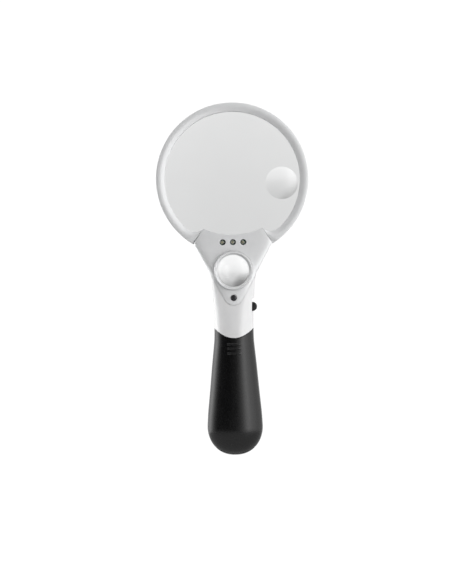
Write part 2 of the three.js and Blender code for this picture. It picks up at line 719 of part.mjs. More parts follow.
// A thin contact: a round pad at each place, and a strip from the first place to the end.
function contactPlate(places, [endX, endY], z) {
  const profile = [[0, z], [3.4, z], [3.4, z + contactThick], [0, z + contactThick]];
  const pads = places.map(([x, y]) => turnedZ(profile, x, y, 16));
  const [[startX, startY]] = places;
  const strip = new THREE.BoxGeometry(Math.hypot(endX - startX, endY - startY), 2.6, contactThick)
    .rotateZ(Math.atan2(endY - startY, endX - startX))
    .translate((startX + endX) / 2, (startY + endY) / 2, z + contactThick / 2);
  return union(...pads, solid(strip));
}

// ---- The grip sleeve and its end cap ----

function ridge(height) {
  const [, front] = caseSection(height, 0);
  const bar = new THREE.CylinderGeometry(0.95, 0.95, 12.5, 12).rotateZ(Math.PI / 2);
  return solid(bar.scale(1, 0.85, 1).translate(0, -front + 0.3, height));
}

function gripSleeve() {
  const floor = 4.6;
  const outside = caseForm(0, 120, 0).intersect(belowSeam());
  const inside = caseForm(floor, 121, -GRIP_WALL);
  const ridges = RIDGES_Z.map(ridge);
  const stud = turnedZ([[0, -1], [4.3, -1], [4.3, 10], [0, 10]], 0, 0);
  return without(outside, inside, belowCapSeam(GAP / 2), stud).add(union(...ridges));
}

function gripEndCap() {
  const sole = caseForm(0, 20, 0).intersect(belowCapSeam(-GAP / 2));
  const stud = turnedZ([[0, 1], [4, 1], [4, 6.6], [3.4, 7.4], [0, 7.4]], 0, 0);
  return sole.add(stud);
}

// ---- The assembly ----

const finishes = {
  silver: { color: 0xc4c5c7, roughness: 0.35, metalness: 0.1 },
  white: { color: 0xf2f2f3, roughness: 0.3, metalness: 0 },
  black: { color: 0x1b1b1d, roughness: 0.5, metalness: 0 },
  rubber: { color: 0x18181a, roughness: 0.7, metalness: 0 },
  clear: { color: 0xf4f7fa, roughness: 0.03, metalness: 0, transparent: true, opacity: 0.4 },
  steel: { color: 0xb9bbbd, roughness: 0.3, metalness: 1 },
  darkSteel: { color: 0x2c2c2e, roughness: 0.4, metalness: 0.8 },
  green: { color: 0x1e5b3a, roughness: 0.5, metalness: 0 },
  tan: { color: 0xd6b98c, roughness: 0.5, metalness: 0 },
  red: { color: 0xb3201c, roughness: 0.45, metalness: 0 },
  cellJacket: { color: 0x2f6e8e, roughness: 0.35, metalness: 0.3 },
};

const magnifier = new THREE.Group();
magnifier.position.z = -GRIP_HEIGHT;

function place(parent, name, body, finish, position = [0, 0, 0], rotation = [0, 0, 0]) {
  const material = new THREE.MeshStandardMaterial(finishes[finish]);
  const mesh = new THREE.Mesh(geometryOf(body), material);
  mesh.name = name;
  mesh.position.set(...position);
  mesh.rotation.set(...rotation);
  parent.add(mesh);
}

const head = new THREE.Group();
place(head, "front_ring", frontRing(), "silver");
place(head, "rear_ring", rearRing(), "silver");
place(head, "main_lens", mainLens(), "clear");
place(head, "front_trim", frontTrim(), "silver");
place(head, "small_lens_bezel", smallBezel(), "silver");
place(head, "small_lens", smallLens(), "clear");
magnifier.add(head);

const neck = new THREE.Group();
const shells = wholeCase();
place(neck, "neck_front_shell", neckShell(-1, shells.subtract(trimBed())), "white");
place(neck, "neck_rear_shell", neckShell(1, shells), "white");
place(neck, "front_screw", screw(1.4, 15), "darkSteel", [0, frontScrewSeat, SCREW_Z]);
["left", "right"].forEach((name, k) => {
  const seat = [REAR_SCREW_X * (2 * k - 1), REAR_SCREW_SEAT, REAR_SCREW_Z];
  place(neck, `rear_screw_${name}`, screw(1.2, 10), "steel", seat, [0, 0, Math.PI]);
});
magnifier.add(neck);

const electrics = new THREE.Group();
["left", "middle", "right"].forEach((name, k) => {
  const x = (k - 1) * LAMP_PITCH;
  place(electrics, `led_${name}`, lamp(), "clear", [x, BOARD_FRONT - GAP, LAMP_Z]);
});
place(electrics, "led_board", lampBoard(), "green");
const onBoard = [0, BOARD_FRONT + BOARD_THICK + 1.4, LAMP_Z - 5];
place(electrics, "led_resistor", resistor(), "tan", onBoard, [0, Math.PI / 2, 0]);
place(electrics, "slide_switch_body", switchBody(), "steel");
magnifier.add(electrics);

const power = new THREE.Group();
const [rearCell, leftCell, rightCell] = cellPlaces;
const contactFloor = floorZ + GAP;
const contactCeiling = ceilingZ - GAP - contactThick;
const onSpring = contactFloor + contactThick + GAP + springHeight + GAP;
const underSpring = contactCeiling - GAP - springHeight - GAP - CELL_LENGTH;
place(power, "battery_holder", batteryHolder(), "black");
place(power, "battery_left", cell(), "cellJacket", [...leftCell, onSpring]);
const rearTop = [...rearCell, underSpring + CELL_LENGTH];
place(power, "battery_rear", cell(), "cellJacket", rearTop, [Math.PI, 0, 0]);
place(power, "battery_right", cell(), "cellJacket", [...rightCell, onSpring]);
const springFloor = contactFloor + contactThick + GAP;
place(power, "battery_spring_left", spring(), "steel", [...leftCell, springFloor]);
const springCeiling = [...rearCell, contactCeiling - GAP];
place(power, "battery_spring_rear", spring(), "steel", springCeiling, [Math.PI, 0, 0]);
place(power, "battery_spring_right", spring(), "steel", [...rightCell, springFloor]);
place(power, "contact_top_left", contactPlate([leftCell], [-2.2, -1.3], contactCeiling), "steel");
place(power, "contact_top_bridge", contactPlate([rightCell, rearCell], rearCell, contactCeiling), "steel");
place(power, "contact_bottom_bridge", contactPlate([leftCell, rearCell], rearCell, contactFloor), "steel");
place(power, "contact_bottom_right", contactPlate([rightCell], [0.4, -8.4], contactFloor), "steel");
magnifier.add(power);

// The leads, from end to end.
const batteryToSwitch = [[-2.2, -1.3, 97.5], [0, 0, 104], [1.5, 0, 112], [5, 0, 122], [7, 0, 131]];
const pastTunnel = [
  [14, -1.6, 152], [16, -2.4, 158], [17.8, -2.6, 167], [18.6, -2.4, 175], [12, -1.2, 184],
];
const switchToLeds = [[7, 2, 141], [9, 1, 146], ...pastTunnel];
const alongCells = [
  [0, -8.8, 48.6], [0, -8.8, 72], [0, -8.8, 99], [0, -8.3, 112], [-6, -5, 126], [-11, -3, 142],
];
const batteryToLeds = [...alongCells, ...pastTunnel.map(([x, y, z]) => [-x, y, z])];
place(electrics, "red_wire_battery_to_switch", wire(batteryToSwitch, WIRE_R, 14), "red");
place(electrics, "red_wire_switch_to_leds", wire(switchToLeds, WIRE_R, 22), "red");
place(electrics, "black_wire_battery_to_leds", wire(batteryToLeds, WIRE_R, 44), "black");

const slider = new THREE.Group();
place(slider, "switch_knob", switchKnob(), "black");
magnifier.add(slider);

const grip = new THREE.Group();
place(grip, "grip_sleeve", gripSleeve(), "rubber");
place(grip, "grip_end_cap", gripEndCap(), "rubber");
magnifier.add(grip);

export default magnifier;
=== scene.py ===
"""The looks of a hand-held low vision magnifier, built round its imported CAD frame.

Shapes are made in millimetres: +X is the side with the switch, -Y the face with the lamps, and
heights are measured from the bottom of the grip. deliver() puts a finished piece in the frame.
"""

import math
from contextlib import contextmanager

import bmesh
import bpy
import numpy as np
from mathutils import Matrix, Vector


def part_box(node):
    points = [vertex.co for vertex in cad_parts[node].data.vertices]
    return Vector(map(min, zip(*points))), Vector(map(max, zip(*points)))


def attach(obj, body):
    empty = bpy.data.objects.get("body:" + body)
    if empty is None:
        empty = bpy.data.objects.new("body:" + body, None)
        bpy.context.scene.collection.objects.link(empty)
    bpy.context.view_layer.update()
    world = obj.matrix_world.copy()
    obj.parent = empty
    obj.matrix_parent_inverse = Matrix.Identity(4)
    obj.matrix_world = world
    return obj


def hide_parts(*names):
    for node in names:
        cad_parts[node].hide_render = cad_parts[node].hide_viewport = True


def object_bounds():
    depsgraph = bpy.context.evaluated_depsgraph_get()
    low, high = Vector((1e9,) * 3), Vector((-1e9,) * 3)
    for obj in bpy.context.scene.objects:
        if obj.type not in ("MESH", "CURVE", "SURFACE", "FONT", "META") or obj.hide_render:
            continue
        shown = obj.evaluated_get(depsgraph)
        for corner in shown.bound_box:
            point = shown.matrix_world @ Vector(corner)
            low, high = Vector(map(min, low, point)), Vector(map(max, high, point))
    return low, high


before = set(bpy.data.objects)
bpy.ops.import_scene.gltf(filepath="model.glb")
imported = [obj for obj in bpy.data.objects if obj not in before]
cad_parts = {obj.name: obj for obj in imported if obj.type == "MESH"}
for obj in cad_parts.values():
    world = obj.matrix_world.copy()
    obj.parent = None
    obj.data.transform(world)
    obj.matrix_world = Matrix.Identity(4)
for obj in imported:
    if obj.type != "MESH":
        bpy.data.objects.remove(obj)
CAD_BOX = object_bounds()

MM = 0.001
MERGED = 1e-4  # points closer than this are one point
BOTTOM = CAD_BOX[0].z


def node_box(name):
    """A CAD node's corners in millimetres, heights from the grip's bottom."""
    return [Vector((p.x, p.y, p.z - BOTTOM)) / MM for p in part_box(name)]


def node_centre(name):
    low, high = node_box(name)
    return (low + high) / 2


# ---- Driving dimensions ----

GAP = 0.3  # clearance between neighbours
WALL = 2.0
FAR = 60  # well past the case on every side, for bodies that cut right through it
AHEAD, BEYOND = -30, 30  # well past the case, in front of it and behind it

RING_R = node_box("front_ring")[1].x
RING_Z = node_box("front_ring")[1].z - RING_R
RING_FRONT = -6.5
RING_REAR = node_box("rear_ring")[1].y
CREST_R = RING_R - 2.6
RIM_CURVE = 0.055  # how the crest falls away to the lens, as far as its bend
RIM_BEND = 2.8
RIM_OUTER_CURVE = 0.04  # how the crest falls away to the outside
OPENING_R = 61.3
RING_START = 31.5  # degrees from straight down, where the ring's ends meet the yoke

LENS_R = node_box("main_lens")[1].x
LENS_CHORD_Z = node_box("main_lens")[0].z
LENS_GAP = GAP + 0.1
LENS_EDGE_FRONT = -1.7
LENS_EDGE_REAR = 1.3
LENS_BULGE = node_box("main_lens")[1].y - LENS_EDGE_REAR
SPOT_X = 44.9
SPOT_Z = 246.5
SPOT_R = 14.3
SPOT_RISE = 2.5

YOKE_TAPER = 0.539
YOKE_HALF = node_box("front_trim")[1].x
YOKE_Z = 191.8
HORN_X = 26.8
HORN_Z = node_box("front_trim")[1].z
YOKE_ARC_R = 65.8
YOKE_ARC_Z = 265.5
FOOT_R = 9
FOOT_Z = node_box("front_trim")[0].z + FOOT_R
TRIM_PROUD = 0.3
TRIM_SUNK = 0.8
TRIM_BACK = node_box("front_trim")[1].y

SMALL_LENS_R = node_box("small_lens")[1].x
SMALL_Z = node_centre("small_lens").z
BEZEL_R = node_box("small_lens_bezel")[1].x
BEZEL_FRONT = node_box("small_lens_bezel")[0].y
SMALL_VISIBLE_R = 14.3
SMALL_EDGE_FRONT = -9.1
SMALL_EDGE_REAR = -6.6
SMALL_BULGE = SMALL_EDGE_FRONT - node_box("small_lens")[0].y
TUNNEL_R = 15
ROUND = 96  # segments of the small lens's seat

LAMP_R = 2.4
LAMP_FLANGE_R = 2.75
LAMP_PITCH = node_centre("led_right").x
LAMP_Z = node_centre("led_right").z
LAMP_TIP = node_box("led_right")[0].y
LAMP_BASE = -3.6
LAMP_CUP = LAMP_BASE - 1.9
LEG_OFFSET = 0.9
LEG_HALF = 0.25

KNOB_LOW, KNOB_HIGH = node_box("switch_knob")
KNOB_Z = (KNOB_LOW.z + KNOB_HIGH.z) / 2
KNOB_SEAT = 16.1
KNOB_TRAVEL = 3
STEM_HALF = 1.9
STEM_END = KNOB_LOW.x
STEM_DEPTH_HALF = 1.4
THUMB_GROOVE_PITCH = 1.15
POCKET_FLOOR = 15.7
POCKET_BACK = 14.1
POCKET_HALF = 7.1
POCKET_RIM = 1.5

SCREW_Z = node_centre("front_screw").z
SCREW_SUNK = 0.9  # how far the front screw's seat lies inside the case's face
SCREW_HEAD_R = 2.7
HOLE_REACH = 20  # a rear screw's hole runs this far each way from the middle plane
SCREW_SHANK_R = 1.3
FRONT_HEAD_HEIGHT = 1.4
REAR_HEAD_HEIGHT = 1.2
REAR_SCREW_X = node_centre("rear_screw_right").x
REAR_SCREW_Z = node_centre("rear_screw_right").z
REAR_SCREW_SEAT = node_box("rear_screw_right")[1].y - REAR_HEAD_HEIGHT
LUG_FRONT = -4.2
LUG_REAR = 3
LUG_R = 3.6
LUG_OUTER_R = 68.2
THREAD_PITCH = 0.7
THREAD_DEPTH = 0.25

GRIP_WALL = 2.2
SEAM_LOW_Z = 106.4
SEAM_RISE = 8.7
SEAM_HALF = 17.6
CAP_SEAM_Z = 1.9
CAP_SEAM_CURVE = 0.0163
RIDGES_Z = (100.8, 97, 92.6)
RIDGE_HALF = 6.25
RIDGE_TALL = 0.95
RIDGE_PROUD = 0.75
GRIP_FLOOR = 5.2  # the lowest height inside the sleeve
STUD_R = 4  # the end cap's stud

HOLDER_LOW, HOLDER_HIGH = node_box("battery_holder")
HOLDER_TOP = 100.3
HOLDER_PLATE = 3
SPIGOT_HALF = 15
SPIGOT_DEPTH = 12.4
SPIGOT_TOP = 118
LEAD_WAY = 1.2  # half the width of the way that the leads take
SPRING_WIRE_R = 0.28

# Height, half width, depth to the front, depth to the back and squareness of the case's oval.
CASE_SECTIONS = np.array([
    (26, 25.2, 17.6, 17.6, 2.2),
    (38, 24.5, 17.6, 17.6, 2.2),
    (60, 22.3, 16.8, 16.8, 2.2),
    (82, 20.3, 16.1, 15.9, 2.2),
    (104, 18, 15.4, 15.1, 2.25),
    (113, 17.8, 15.1, 14.8, 2.3),
    (124, 17.9, 14.2, 13.8, 2.4),
    (134, 18.1, 13, 12.6, 2.5),
    (149, 19.3, 11, 10.6, 2.9),
    (160, 20, 9.8, 9.3, 4.4),
    (164, 20.3, 9.4, 8.8, 5.2),
    (173, 25.3, 8.6, 7.8, 7),
    (182, 30.1, 7.8, 7, 8),
    (191.8, 35.4, 7.3, 6.6, 9),
    (208, 35.4, 7.2, 6.4, 9),
])
CASE_BOTTOM, CASE_TOP = 90, 212  # the shells and the trim are cut from the form between these
DOME_TOP = CASE_SECTIONS[0][0]
DOME_POWER = 1 / 2.25


# ---- Meshes ----

def placed(name, data):
    """A new object in the scene."""
    thing = bpy.data.objects.new(name, data)
    bpy.context.scene.collection.objects.link(thing)
    return thing


@contextmanager
def edited(mesh):
    """A mesh as a bmesh, written back afterwards."""
    work = bmesh.new()
    work.from_mesh(mesh)
    yield work
    work.to_mesh(mesh)
    work.free()


def body(points, faces):
    """A closed body from points in millimetres, its doubled points merged and its faces out."""
    mesh = bpy.data.meshes.new("shape")
    mesh.from_pydata([tuple(float(c) for c in p) for p in points], [], faces)
    with edited(mesh) as work:
        bmesh.ops.remove_doubles(work, verts=work.verts, dist=MERGED)
        bmesh.ops.recalc_face_normals(work, faces=work.faces)
    return placed("shape", mesh)


def loft(rings, around=False):
    """A body through rings of equally many points. Its ends are closed, or meet if it goes around."""
    count, levels = len(rings[0]), len(rings)
    faces = []
    for level in range(levels if around else levels - 1):
        above = (level + 1) % levels
        for k in range(count):
            beside = (k + 1) % count
            here = (level * count + k, level * count + beside)
            faces.append((*here, above * count + beside, above * count + k))
    if not around:
        faces.append(tuple(range(count)))
        faces.append(tuple(range((levels - 1) * count, levels * count)))
    return body(np.concatenate(rings), faces)


def turned(profile, centre, axis="Y", segments=96):
    """A profile of (radius, distance along the axis) turned about a line parallel to Y or Z.
    The profile starts and ends on the axis, or is a closed outline beside it."""
    rings = []
    for k in range(segments):
        turn = 2 * math.pi * k / segments
        across, up = math.cos(turn), math.sin(turn)
        if axis == "Y":
            ring = [(centre[0] + r * across, along, centre[1] + r * up) for r, along in profile]
        else:
            ring = [(centre[0] + r * across, centre[1] + r * up, along) for r, along in profile]
        rings.append(np.array(ring))
    if profile[0][0] == 0:
        count = len(profile)
        faces = []
        for k in range(segments):
            start, after = k * count, (k + 1) % segments * count
            for i in range(count - 1):
                quad = [start + i, after + i, after + i + 1, start + i + 1]
                if profile[i][0] == 0:
                    quad.pop(1)
                elif profile[i + 1][0] == 0:
                    quad.pop(2)
                faces.append(tuple(quad))
        return body(np.concatenate(rings), faces)
    return loft(rings, around=True)


def rod(radius, y0, y1, x, z, segments=64):
    return turned([(0, y0), (radius, y0), (radius, y1), (0, y1)], (x, z), "Y", segments)


def block(low, high):
    (x0, y0, z0), (x1, y1, z1) = low, high
    base = [(x0, y0), (x1, y0), (x1, y1), (x0, y1)]
    return loft([np.array([(x, y, z) for x, y in base]) for z in (z0, z1)])


def sheet(outline, y0, y1):
    """An outline in (x, z) carried along Y."""
    return loft([np.array([(x, y, z) for x, z in outline]) for y in (y0, y1)])


def eased(corners, radius, steps=4, closed=True):
    """An outline with each corner turned into a short curve. radius is one number, or one each."""
    corners = [Vector(c) for c in corners]
    radii = [radius] * len(corners) if np.isscalar(radius) else list(radius)
    points = []
    for k, corner in enumerate(corners):
        at_end = not closed and k in (0, len(corners) - 1)
        if at_end or radii[k] == 0:
            points.append(tuple(corner))
            continue
        before = corners[k - 1] - corner
        after = corners[(k + 1) % len(corners)] - corner
        start = corner + before.normalized() * min(radii[k], before.length * 0.48)
        end = corner + after.normalized() * min(radii[k], after.length * 0.48)
        for step in range(steps + 1):
            s = step / steps
            points.append(tuple((1 - s) ** 2 * start + 2 * s * (1 - s) * corner + s * s * end))
    return points


def arc(centre, radius, start, end, steps):
    """Points on an arc, angles in degrees."""
    turns = np.radians(np.linspace(start, end, steps + 1))
    return [(centre[0] + radius * math.cos(t), centre[1] + radius * math.sin(t)) for t in turns]


def settle(piece):
    """Gives a piece the mesh that its modifiers make."""
    view = bpy.context.evaluated_depsgraph_get()
    mesh = bpy.data.meshes.new_from_object(piece.evaluated_get(view))
    before = piece.data
    piece.modifiers.clear()
    piece.data = mesh
    bpy.data.meshes.remove(before)
    return piece


def combine(piece, others, operation):
    """Joins, cuts or keeps: UNION, DIFFERENCE or INTERSECT with each of the other bodies."""
    for other in others:
        step = piece.modifiers.new("combine", "BOOLEAN")
        step.operation = operation
        step.object = other
        step.solver = "MANIFOLD"
    settle(piece)
    for other in others:
        bpy.data.meshes.remove(other.data)
    return piece


def joined(piece, *others):
    return combine(piece, others, "UNION")


def cut(piece, *others):
    return combine(piece, others, "DIFFERENCE")


def within(piece, *others):
    return combine(piece, others, "INTERSECT")


def both_sides(make):
    """What make gives for the left side and for the right side."""
    return [make(-1), make(1)]


def largest(piece):
    """Keeps the largest of a piece's separate bodies."""
    with edited(piece.data) as work:
        groups, seen = [], set()
        for start in work.verts:
            if start in seen:
                continue
            group = [start]
            seen.add(start)
            for vert in group:
                near = [edge.other_vert(vert) for edge in vert.link_edges]
                new = [other for other in near if other not in seen]
                seen.update(new)
                group += new
            groups.append(group)
        for group in sorted(groups, key=len)[:-1]:
            bmesh.ops.delete(work, geom=group, context="VERTS")
    return piece


def together(*pieces):
    """Several bodies as one object, each left whole."""
    first = pieces[0]
    work = bmesh.new()
    for piece in pieces:
        work.from_mesh(piece.data)
    work.to_mesh(first.data)
    work.free()
    for piece in pieces[1:]:
        bpy.data.meshes.remove(piece.data)
    return first


def soften(piece, width, angle=40, segments=2):
    """Merges slivers, then rounds the edges that are sharper than an angle."""
    sliver = 0.04
    with edited(piece.data) as work:
        bmesh.ops.remove_doubles(work, verts=work.verts, dist=sliver)
        bmesh.ops.dissolve_degenerate(work, edges=work.edges, dist=sliver)
    bevel = piece.modifiers.new("soften", "BEVEL")
    bevel.width = width
    bevel.segments = segments
    bevel.limit_method = "ANGLE"
    bevel.angle_limit = math.radians(angle)
    bevel.use_clamp_overlap = True
    bevel.miter_outer = "MITER_ARC"
    return settle(piece)


def deliver(piece, name, finish, nodes=(), rides_on="head", smooth=32):
    """Puts a finished piece in the frame, in metres, with its material, body and CAD nodes."""
    piece.name = name
    mesh = piece.data
    mesh.name = name
    mesh.transform(Matrix.Translation((0, 0, BOTTOM)) @ Matrix.Scale(MM, 4))
    mesh.shade_smooth()
    mesh.set_sharp_from_angle(angle=math.radians(smooth))
    mesh.materials.clear()
    mesh.materials.append(FINISHES[finish])
    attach(piece, rides_on)
    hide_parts(*nodes)


def replace(piece, node, finish, rides_on="head", smooth=32):
    """Delivers a piece that takes the place of a CAD node."""
    deliver(piece, f"{node}_looks", finish, [node], rides_on, smooth)


# ---- The case's form ----

def section(height, offset=0.0):
    """Half width, depth to the front, depth to the back and squareness of the case's oval."""
    heights = CASE_SECTIONS[:, 0]
    if height < DOME_TOP:
        dome = DOME_TOP + min(offset, 0)
        fall = min(max((DOME_TOP - height) / dome, 0), 1)
        scale = (1 - fall * fall) ** DOME_POWER
        half, front, rear, squareness = CASE_SECTIONS[0, 1:]
        return [scale * (half + offset), scale * (front + offset), scale * (rear + offset), squareness]
    window = height + np.linspace(-3, 3, 9)
    columns = (CASE_SECTIONS[:, k] for k in (1, 2, 3, 4))
    half, front, rear, squareness = (np.interp(window, heights, column).mean() for column in columns)
    return [half + offset, front + offset, rear + offset, squareness]


def oval(half, front, rear, squareness, count=144):
    """A closed oval in (x, y), its points evenly spaced along each quarter."""
    turn = np.linspace(0, math.pi / 2, 500)
    quarters = []
    for depth in (rear, front):
        x = half * np.cos(turn) ** (2 / squareness)
        y = depth * np.sin(turn) ** (2 / squareness)
        run = np.concatenate([[0], np.cumsum(np.hypot(np.diff(x), np.diff(y)))])
        at = np.linspace(0, run[-1], count // 4 + 1)
        quarters.append((np.interp(at, run, x), np.interp(at, run, y)))
    (xr, yr), (xf, yf) = quarters
    x = np.concatenate([xr[:-1], -xr[:0:-1], -xf[:-1], xf[:0:-1]])
    y = np.concatenate([yr[:-1], yr[:0:-1], -yf[:-1], -yf[:0:-1]])
    return np.stack([x, y], 1)


def stacked(levels, section_at, count=144):
    """Ovals stacked up Z."""
    rings = []
    for z in levels:
        ring = oval(*section_at(z), count)
        rings.append(np.column_stack([ring, np.full(len(ring), z)]))
    return loft(rings)


def case_form(bottom, top, offset=0.0):
    """The case's solid form between two heights."""
    steps = max(2, round((top - bottom) / 1.5))
    return stacked(np.linspace(bottom, top, steps + 1), lambda z: section(z, offset))


def front_depth(x, z, offset=0.0):
    """How far in front of the parting plane the case's surface lies."""
    half, front, _, squareness = section(z, offset)
    return front * max(0.0, 1 - (abs(x) / half) ** squareness) ** (1 / squareness)


# ---- Outlines seen from the front ----

def yoke_outline(margin):
    """The V of the trim. A positive margin makes it larger all round."""
    slope = math.atan(YOKE_TAPER)
    side = YOKE_HALF + margin / math.cos(slope)
    horn, horn_top = HORN_X + margin * 0.9, HORN_Z + margin * 0.6
    arc_r = YOKE_ARC_R - margin
    reach = math.degrees(math.asin(horn / arc_r))
    foot = math.degrees(slope)
    return [
        (side, YOKE_Z),
        (horn, horn_top),
        *arc((0, YOKE_ARC_Z), arc_r, -90 + reach, -90 - reach, 40)[1:-1],
        (-horn, horn_top),
        (-side, YOKE_Z),
        *arc((0, FOOT_Z), FOOT_R + margin, 180 + foot, 360 - foot, 24),
    ]


def case_outline(margin):
    """The case above the grip: a hollow curve below, the top of the yoke above."""
    horn, arc_r = HORN_X - margin, YOKE_ARC_R + margin
    reach = math.degrees(math.asin(horn / arc_r))
    edge = [(x, seam(x) + GAP / 2) for x in np.linspace(SEAM_HALF, -SEAM_HALF, 41)]
    return [
        (FAR, edge[0][1]),
        *edge,
        (-FAR, edge[-1][1]),
        (-FAR, YOKE_Z - margin),
        (-YOKE_HALF + margin, YOKE_Z - margin),
        (-horn, HORN_Z - 1.2 * margin),
        *arc((0, YOKE_ARC_Z), arc_r, -90 - reach, -90 + reach, 40)[1:-1],
        (horn, HORN_Z - 1.2 * margin),
        (YOKE_HALF - margin, YOKE_Z - margin),
        (FAR, YOKE_Z - margin),
    ]


def seam(x):
    """Height of the seam between neck and grip."""
    return SEAM_LOW_Z + SEAM_RISE * (x / SEAM_HALF) ** 2


def cap_seam(x):
    """Height of the seam between the sleeve and its end cap."""
    return CAP_SEAM_Z + CAP_SEAM_CURVE * x * x


# ---- The large lens and its ring ----

def lens_face(radius):
    """How far the lens's face bulges past its rim."""
    return LENS_BULGE * (1 - (radius / LENS_R) ** 2)


def lens_form(margin, steps=48):
    """The large lens without its spot, larger all round by a margin."""
    radii = [LENS_R * k / steps for k in range(steps)]
    edge_front, edge_rear = LENS_EDGE_FRONT - margin, LENS_EDGE_REAR + margin
    front = [(r, edge_front - lens_face(r)) for r in radii]
    rear = [(r, edge_rear + lens_face(r)) for r in reversed(radii)]
    rim = [(LENS_R + margin, edge_front), (LENS_R + margin, edge_rear)]
    whole = turned([*front, *rim, *rear], (0, RING_Z), "Y", 192)
    return cut(whole, block((-80, -20, 150), (80, 20, LENS_CHORD_Z - margin)))


def spot():
    """The stronger round spot moulded on the lens."""
    ball = (SPOT_R ** 2 + SPOT_RISE ** 2) / (2 * SPOT_RISE)
    sunk_r, sunk = SPOT_R + 0.9, 1.2  # the cap goes on into the lens
    reach = math.asin(sunk_r / ball)
    turns = [reach * k / 28 for k in range(29)]
    dome = [(ball * math.sin(t), ball * (1 - math.cos(t)) - SPOT_RISE) for t in turns]
    cap = turned([*dome, (sunk_r, sunk), (0, sunk)], (0, 0), "Y", 128)
    tilt = 2 * LENS_BULGE * SPOT_X / LENS_R ** 2
    face = LENS_EDGE_FRONT - lens_face(math.hypot(SPOT_X, SPOT_Z - RING_Z))
    cap.data.transform(Matrix.Translation((SPOT_X, face, SPOT_Z)) @ Matrix.Rotation(tilt, 4, "Z"))
    return cap


def main_lens():
    return joined(lens_form(0), spot())


SHOULDER = ((26.9, 205.7), (33.5, 199.6), (41.8, 205.6))  # start, pull and end of its curve


def opening_radius(turn):
    """The ring's inner edge at an angle from straight down, in degrees. It comes in at the yoke."""
    start, pull, end = (Vector(p) - Vector((0, RING_Z)) for p in SHOULDER)
    share = np.linspace(0, 1, 60)[:, None]
    curve = (1 - share) ** 2 * start + 2 * share * (1 - share) * pull + share ** 2 * end
    turns = np.degrees(np.arctan2(curve[:, 0], -curve[:, 1]))
    radii = np.hypot(curve[:, 0], curve[:, 1])
    return float(np.interp(turn, turns, radii, right=OPENING_R))


def ring_turns():
    """Angles along the ring from its right end to its left end, closer together at the ends."""
    bend = 46
    half = [*np.linspace(RING_START, bend, 34), *np.linspace(bend, 180, 90)[1:]]
    return half + [360 - t for t in reversed(half[:-1])]


def ring_loft(profile_at):
    """A ring whose section at each angle depends on its opening there."""
    rings = []
    for turn in ring_turns():
        profile = profile_at(opening_radius(min(turn, 360 - turn)))
        out = math.radians(turn)
        side, down = math.sin(out), math.cos(out)
        rings.append(np.array([(r * side, y, RING_Z - r * down) for r, y in profile]))
    return loft(rings)


def front_profile(opening):
    """The front ring's section: a rounded rim whose inner side falls to the lens."""
    inward = OPENING_R - opening
    crest = CREST_R - inward
    fall = []
    for d in np.linspace(0, crest - opening, 16):
        curved = min(d, RIM_BEND)
        fall.append((crest - d, RING_FRONT + RIM_CURVE * curved * (2 * d - curved)))
    reach = (RING_R - crest) * np.linspace(0, 1, 10)
    rise = [(crest + d, RING_FRONT + RIM_OUTER_CURVE * d ** 2) for d in reach]
    outer = [(RING_R, -GAP / 2), *reversed(rise)]
    inner = [
        (opening, LENS_EDGE_FRONT - lens_face(opening) - LENS_GAP),
        (LENS_R + GAP, LENS_EDGE_FRONT - GAP),
        (LENS_R + GAP, -GAP / 2),
    ]
    return eased(outer, (0.3, 0.4, *[0] * 9), 6, False)[:-1] + fall + inner


def rear_profile(opening):
    """The rear ring's section: a plain rounded rim."""
    inward = OPENING_R - opening
    corners = [
        (RING_R, GAP / 2),
        (LENS_R + GAP, GAP / 2),
        (LENS_R + GAP, LENS_EDGE_REAR + GAP),
        (opening, LENS_EDGE_REAR + lens_face(opening) + LENS_GAP),
        (opening, RING_REAR - 1.5),
        (OPENING_R + 1.8 - inward, RING_REAR),
        (RING_R, RING_REAR),
    ]
    return eased(corners, (0.3, 0, 0, 0.2, 0.8, 1.2, 2), 6)


def tongue(side, y0, y1, margin=0.0):
    """A part of a ring that runs on inside the yoke and ends in a lug for a screw."""
    inner, outer = LENS_R + LENS_GAP - margin, LUG_OUTER_R + margin
    y0, y1 = y0 - margin, y1 + margin
    ring = turned([(inner, y0), (outer, y0), (outer, y1), (inner, y1)], (0, RING_Z), "Y", 160)
    x0, x1 = sorted((side * (REAR_SCREW_X - 4), side * (YOKE_HALF + 4)))
    sector = within(ring, block((x0 - margin, -20, 170), (x1 + margin, 20, 205)))
    return joined(sector, rod(LUG_R + margin, y0, y1, side * REAR_SCREW_X, REAR_SCREW_Z))


def rear_screw_places():
    """The rear screws' (x, z), left and right."""
    return [(side * REAR_SCREW_X, REAR_SCREW_Z) for side in (-1, 1)]


def with_lugs(ring, y0, y1):
    """A ring with a lug at each end, and a screw hole in each lug."""
    joined(ring, *both_sides(lambda side: tongue(side, y0, y1)))
    shank = SCREW_SHANK_R + GAP
    return cut(ring, *(rod(shank, -HOLE_REACH, HOLE_REACH, *place) for place in rear_screw_places()))


def front_ring():
    return with_lugs(ring_loft(front_profile), LUG_FRONT, -GAP / 2 - 0.02)


def rear_ring():
    return with_lugs(ring_loft(rear_profile), GAP / 2 + 0.02, LUG_REAR)


# ---- The neck's two shells and the trim ----

def spigot(half, depth, bottom, top):
    """A straight oval plug."""
    return stacked([bottom, top], lambda z: [half, depth, depth, 2.3])


def screw_seat():
    """How far back the front screw's head sits."""
    return SCREW_SUNK - front_depth(0, SCREW_Z)


def lamp_places():
    """The lamps' distances from the middle, left to right."""
    return [k * LAMP_PITCH for k in (-1, 0, 1)]


def pocket_ends():
    """The heights between which the knob's pocket lies."""
    return KNOB_LOW.z - GAP, KNOB_HIGH.z + KNOB_TRAVEL + GAP


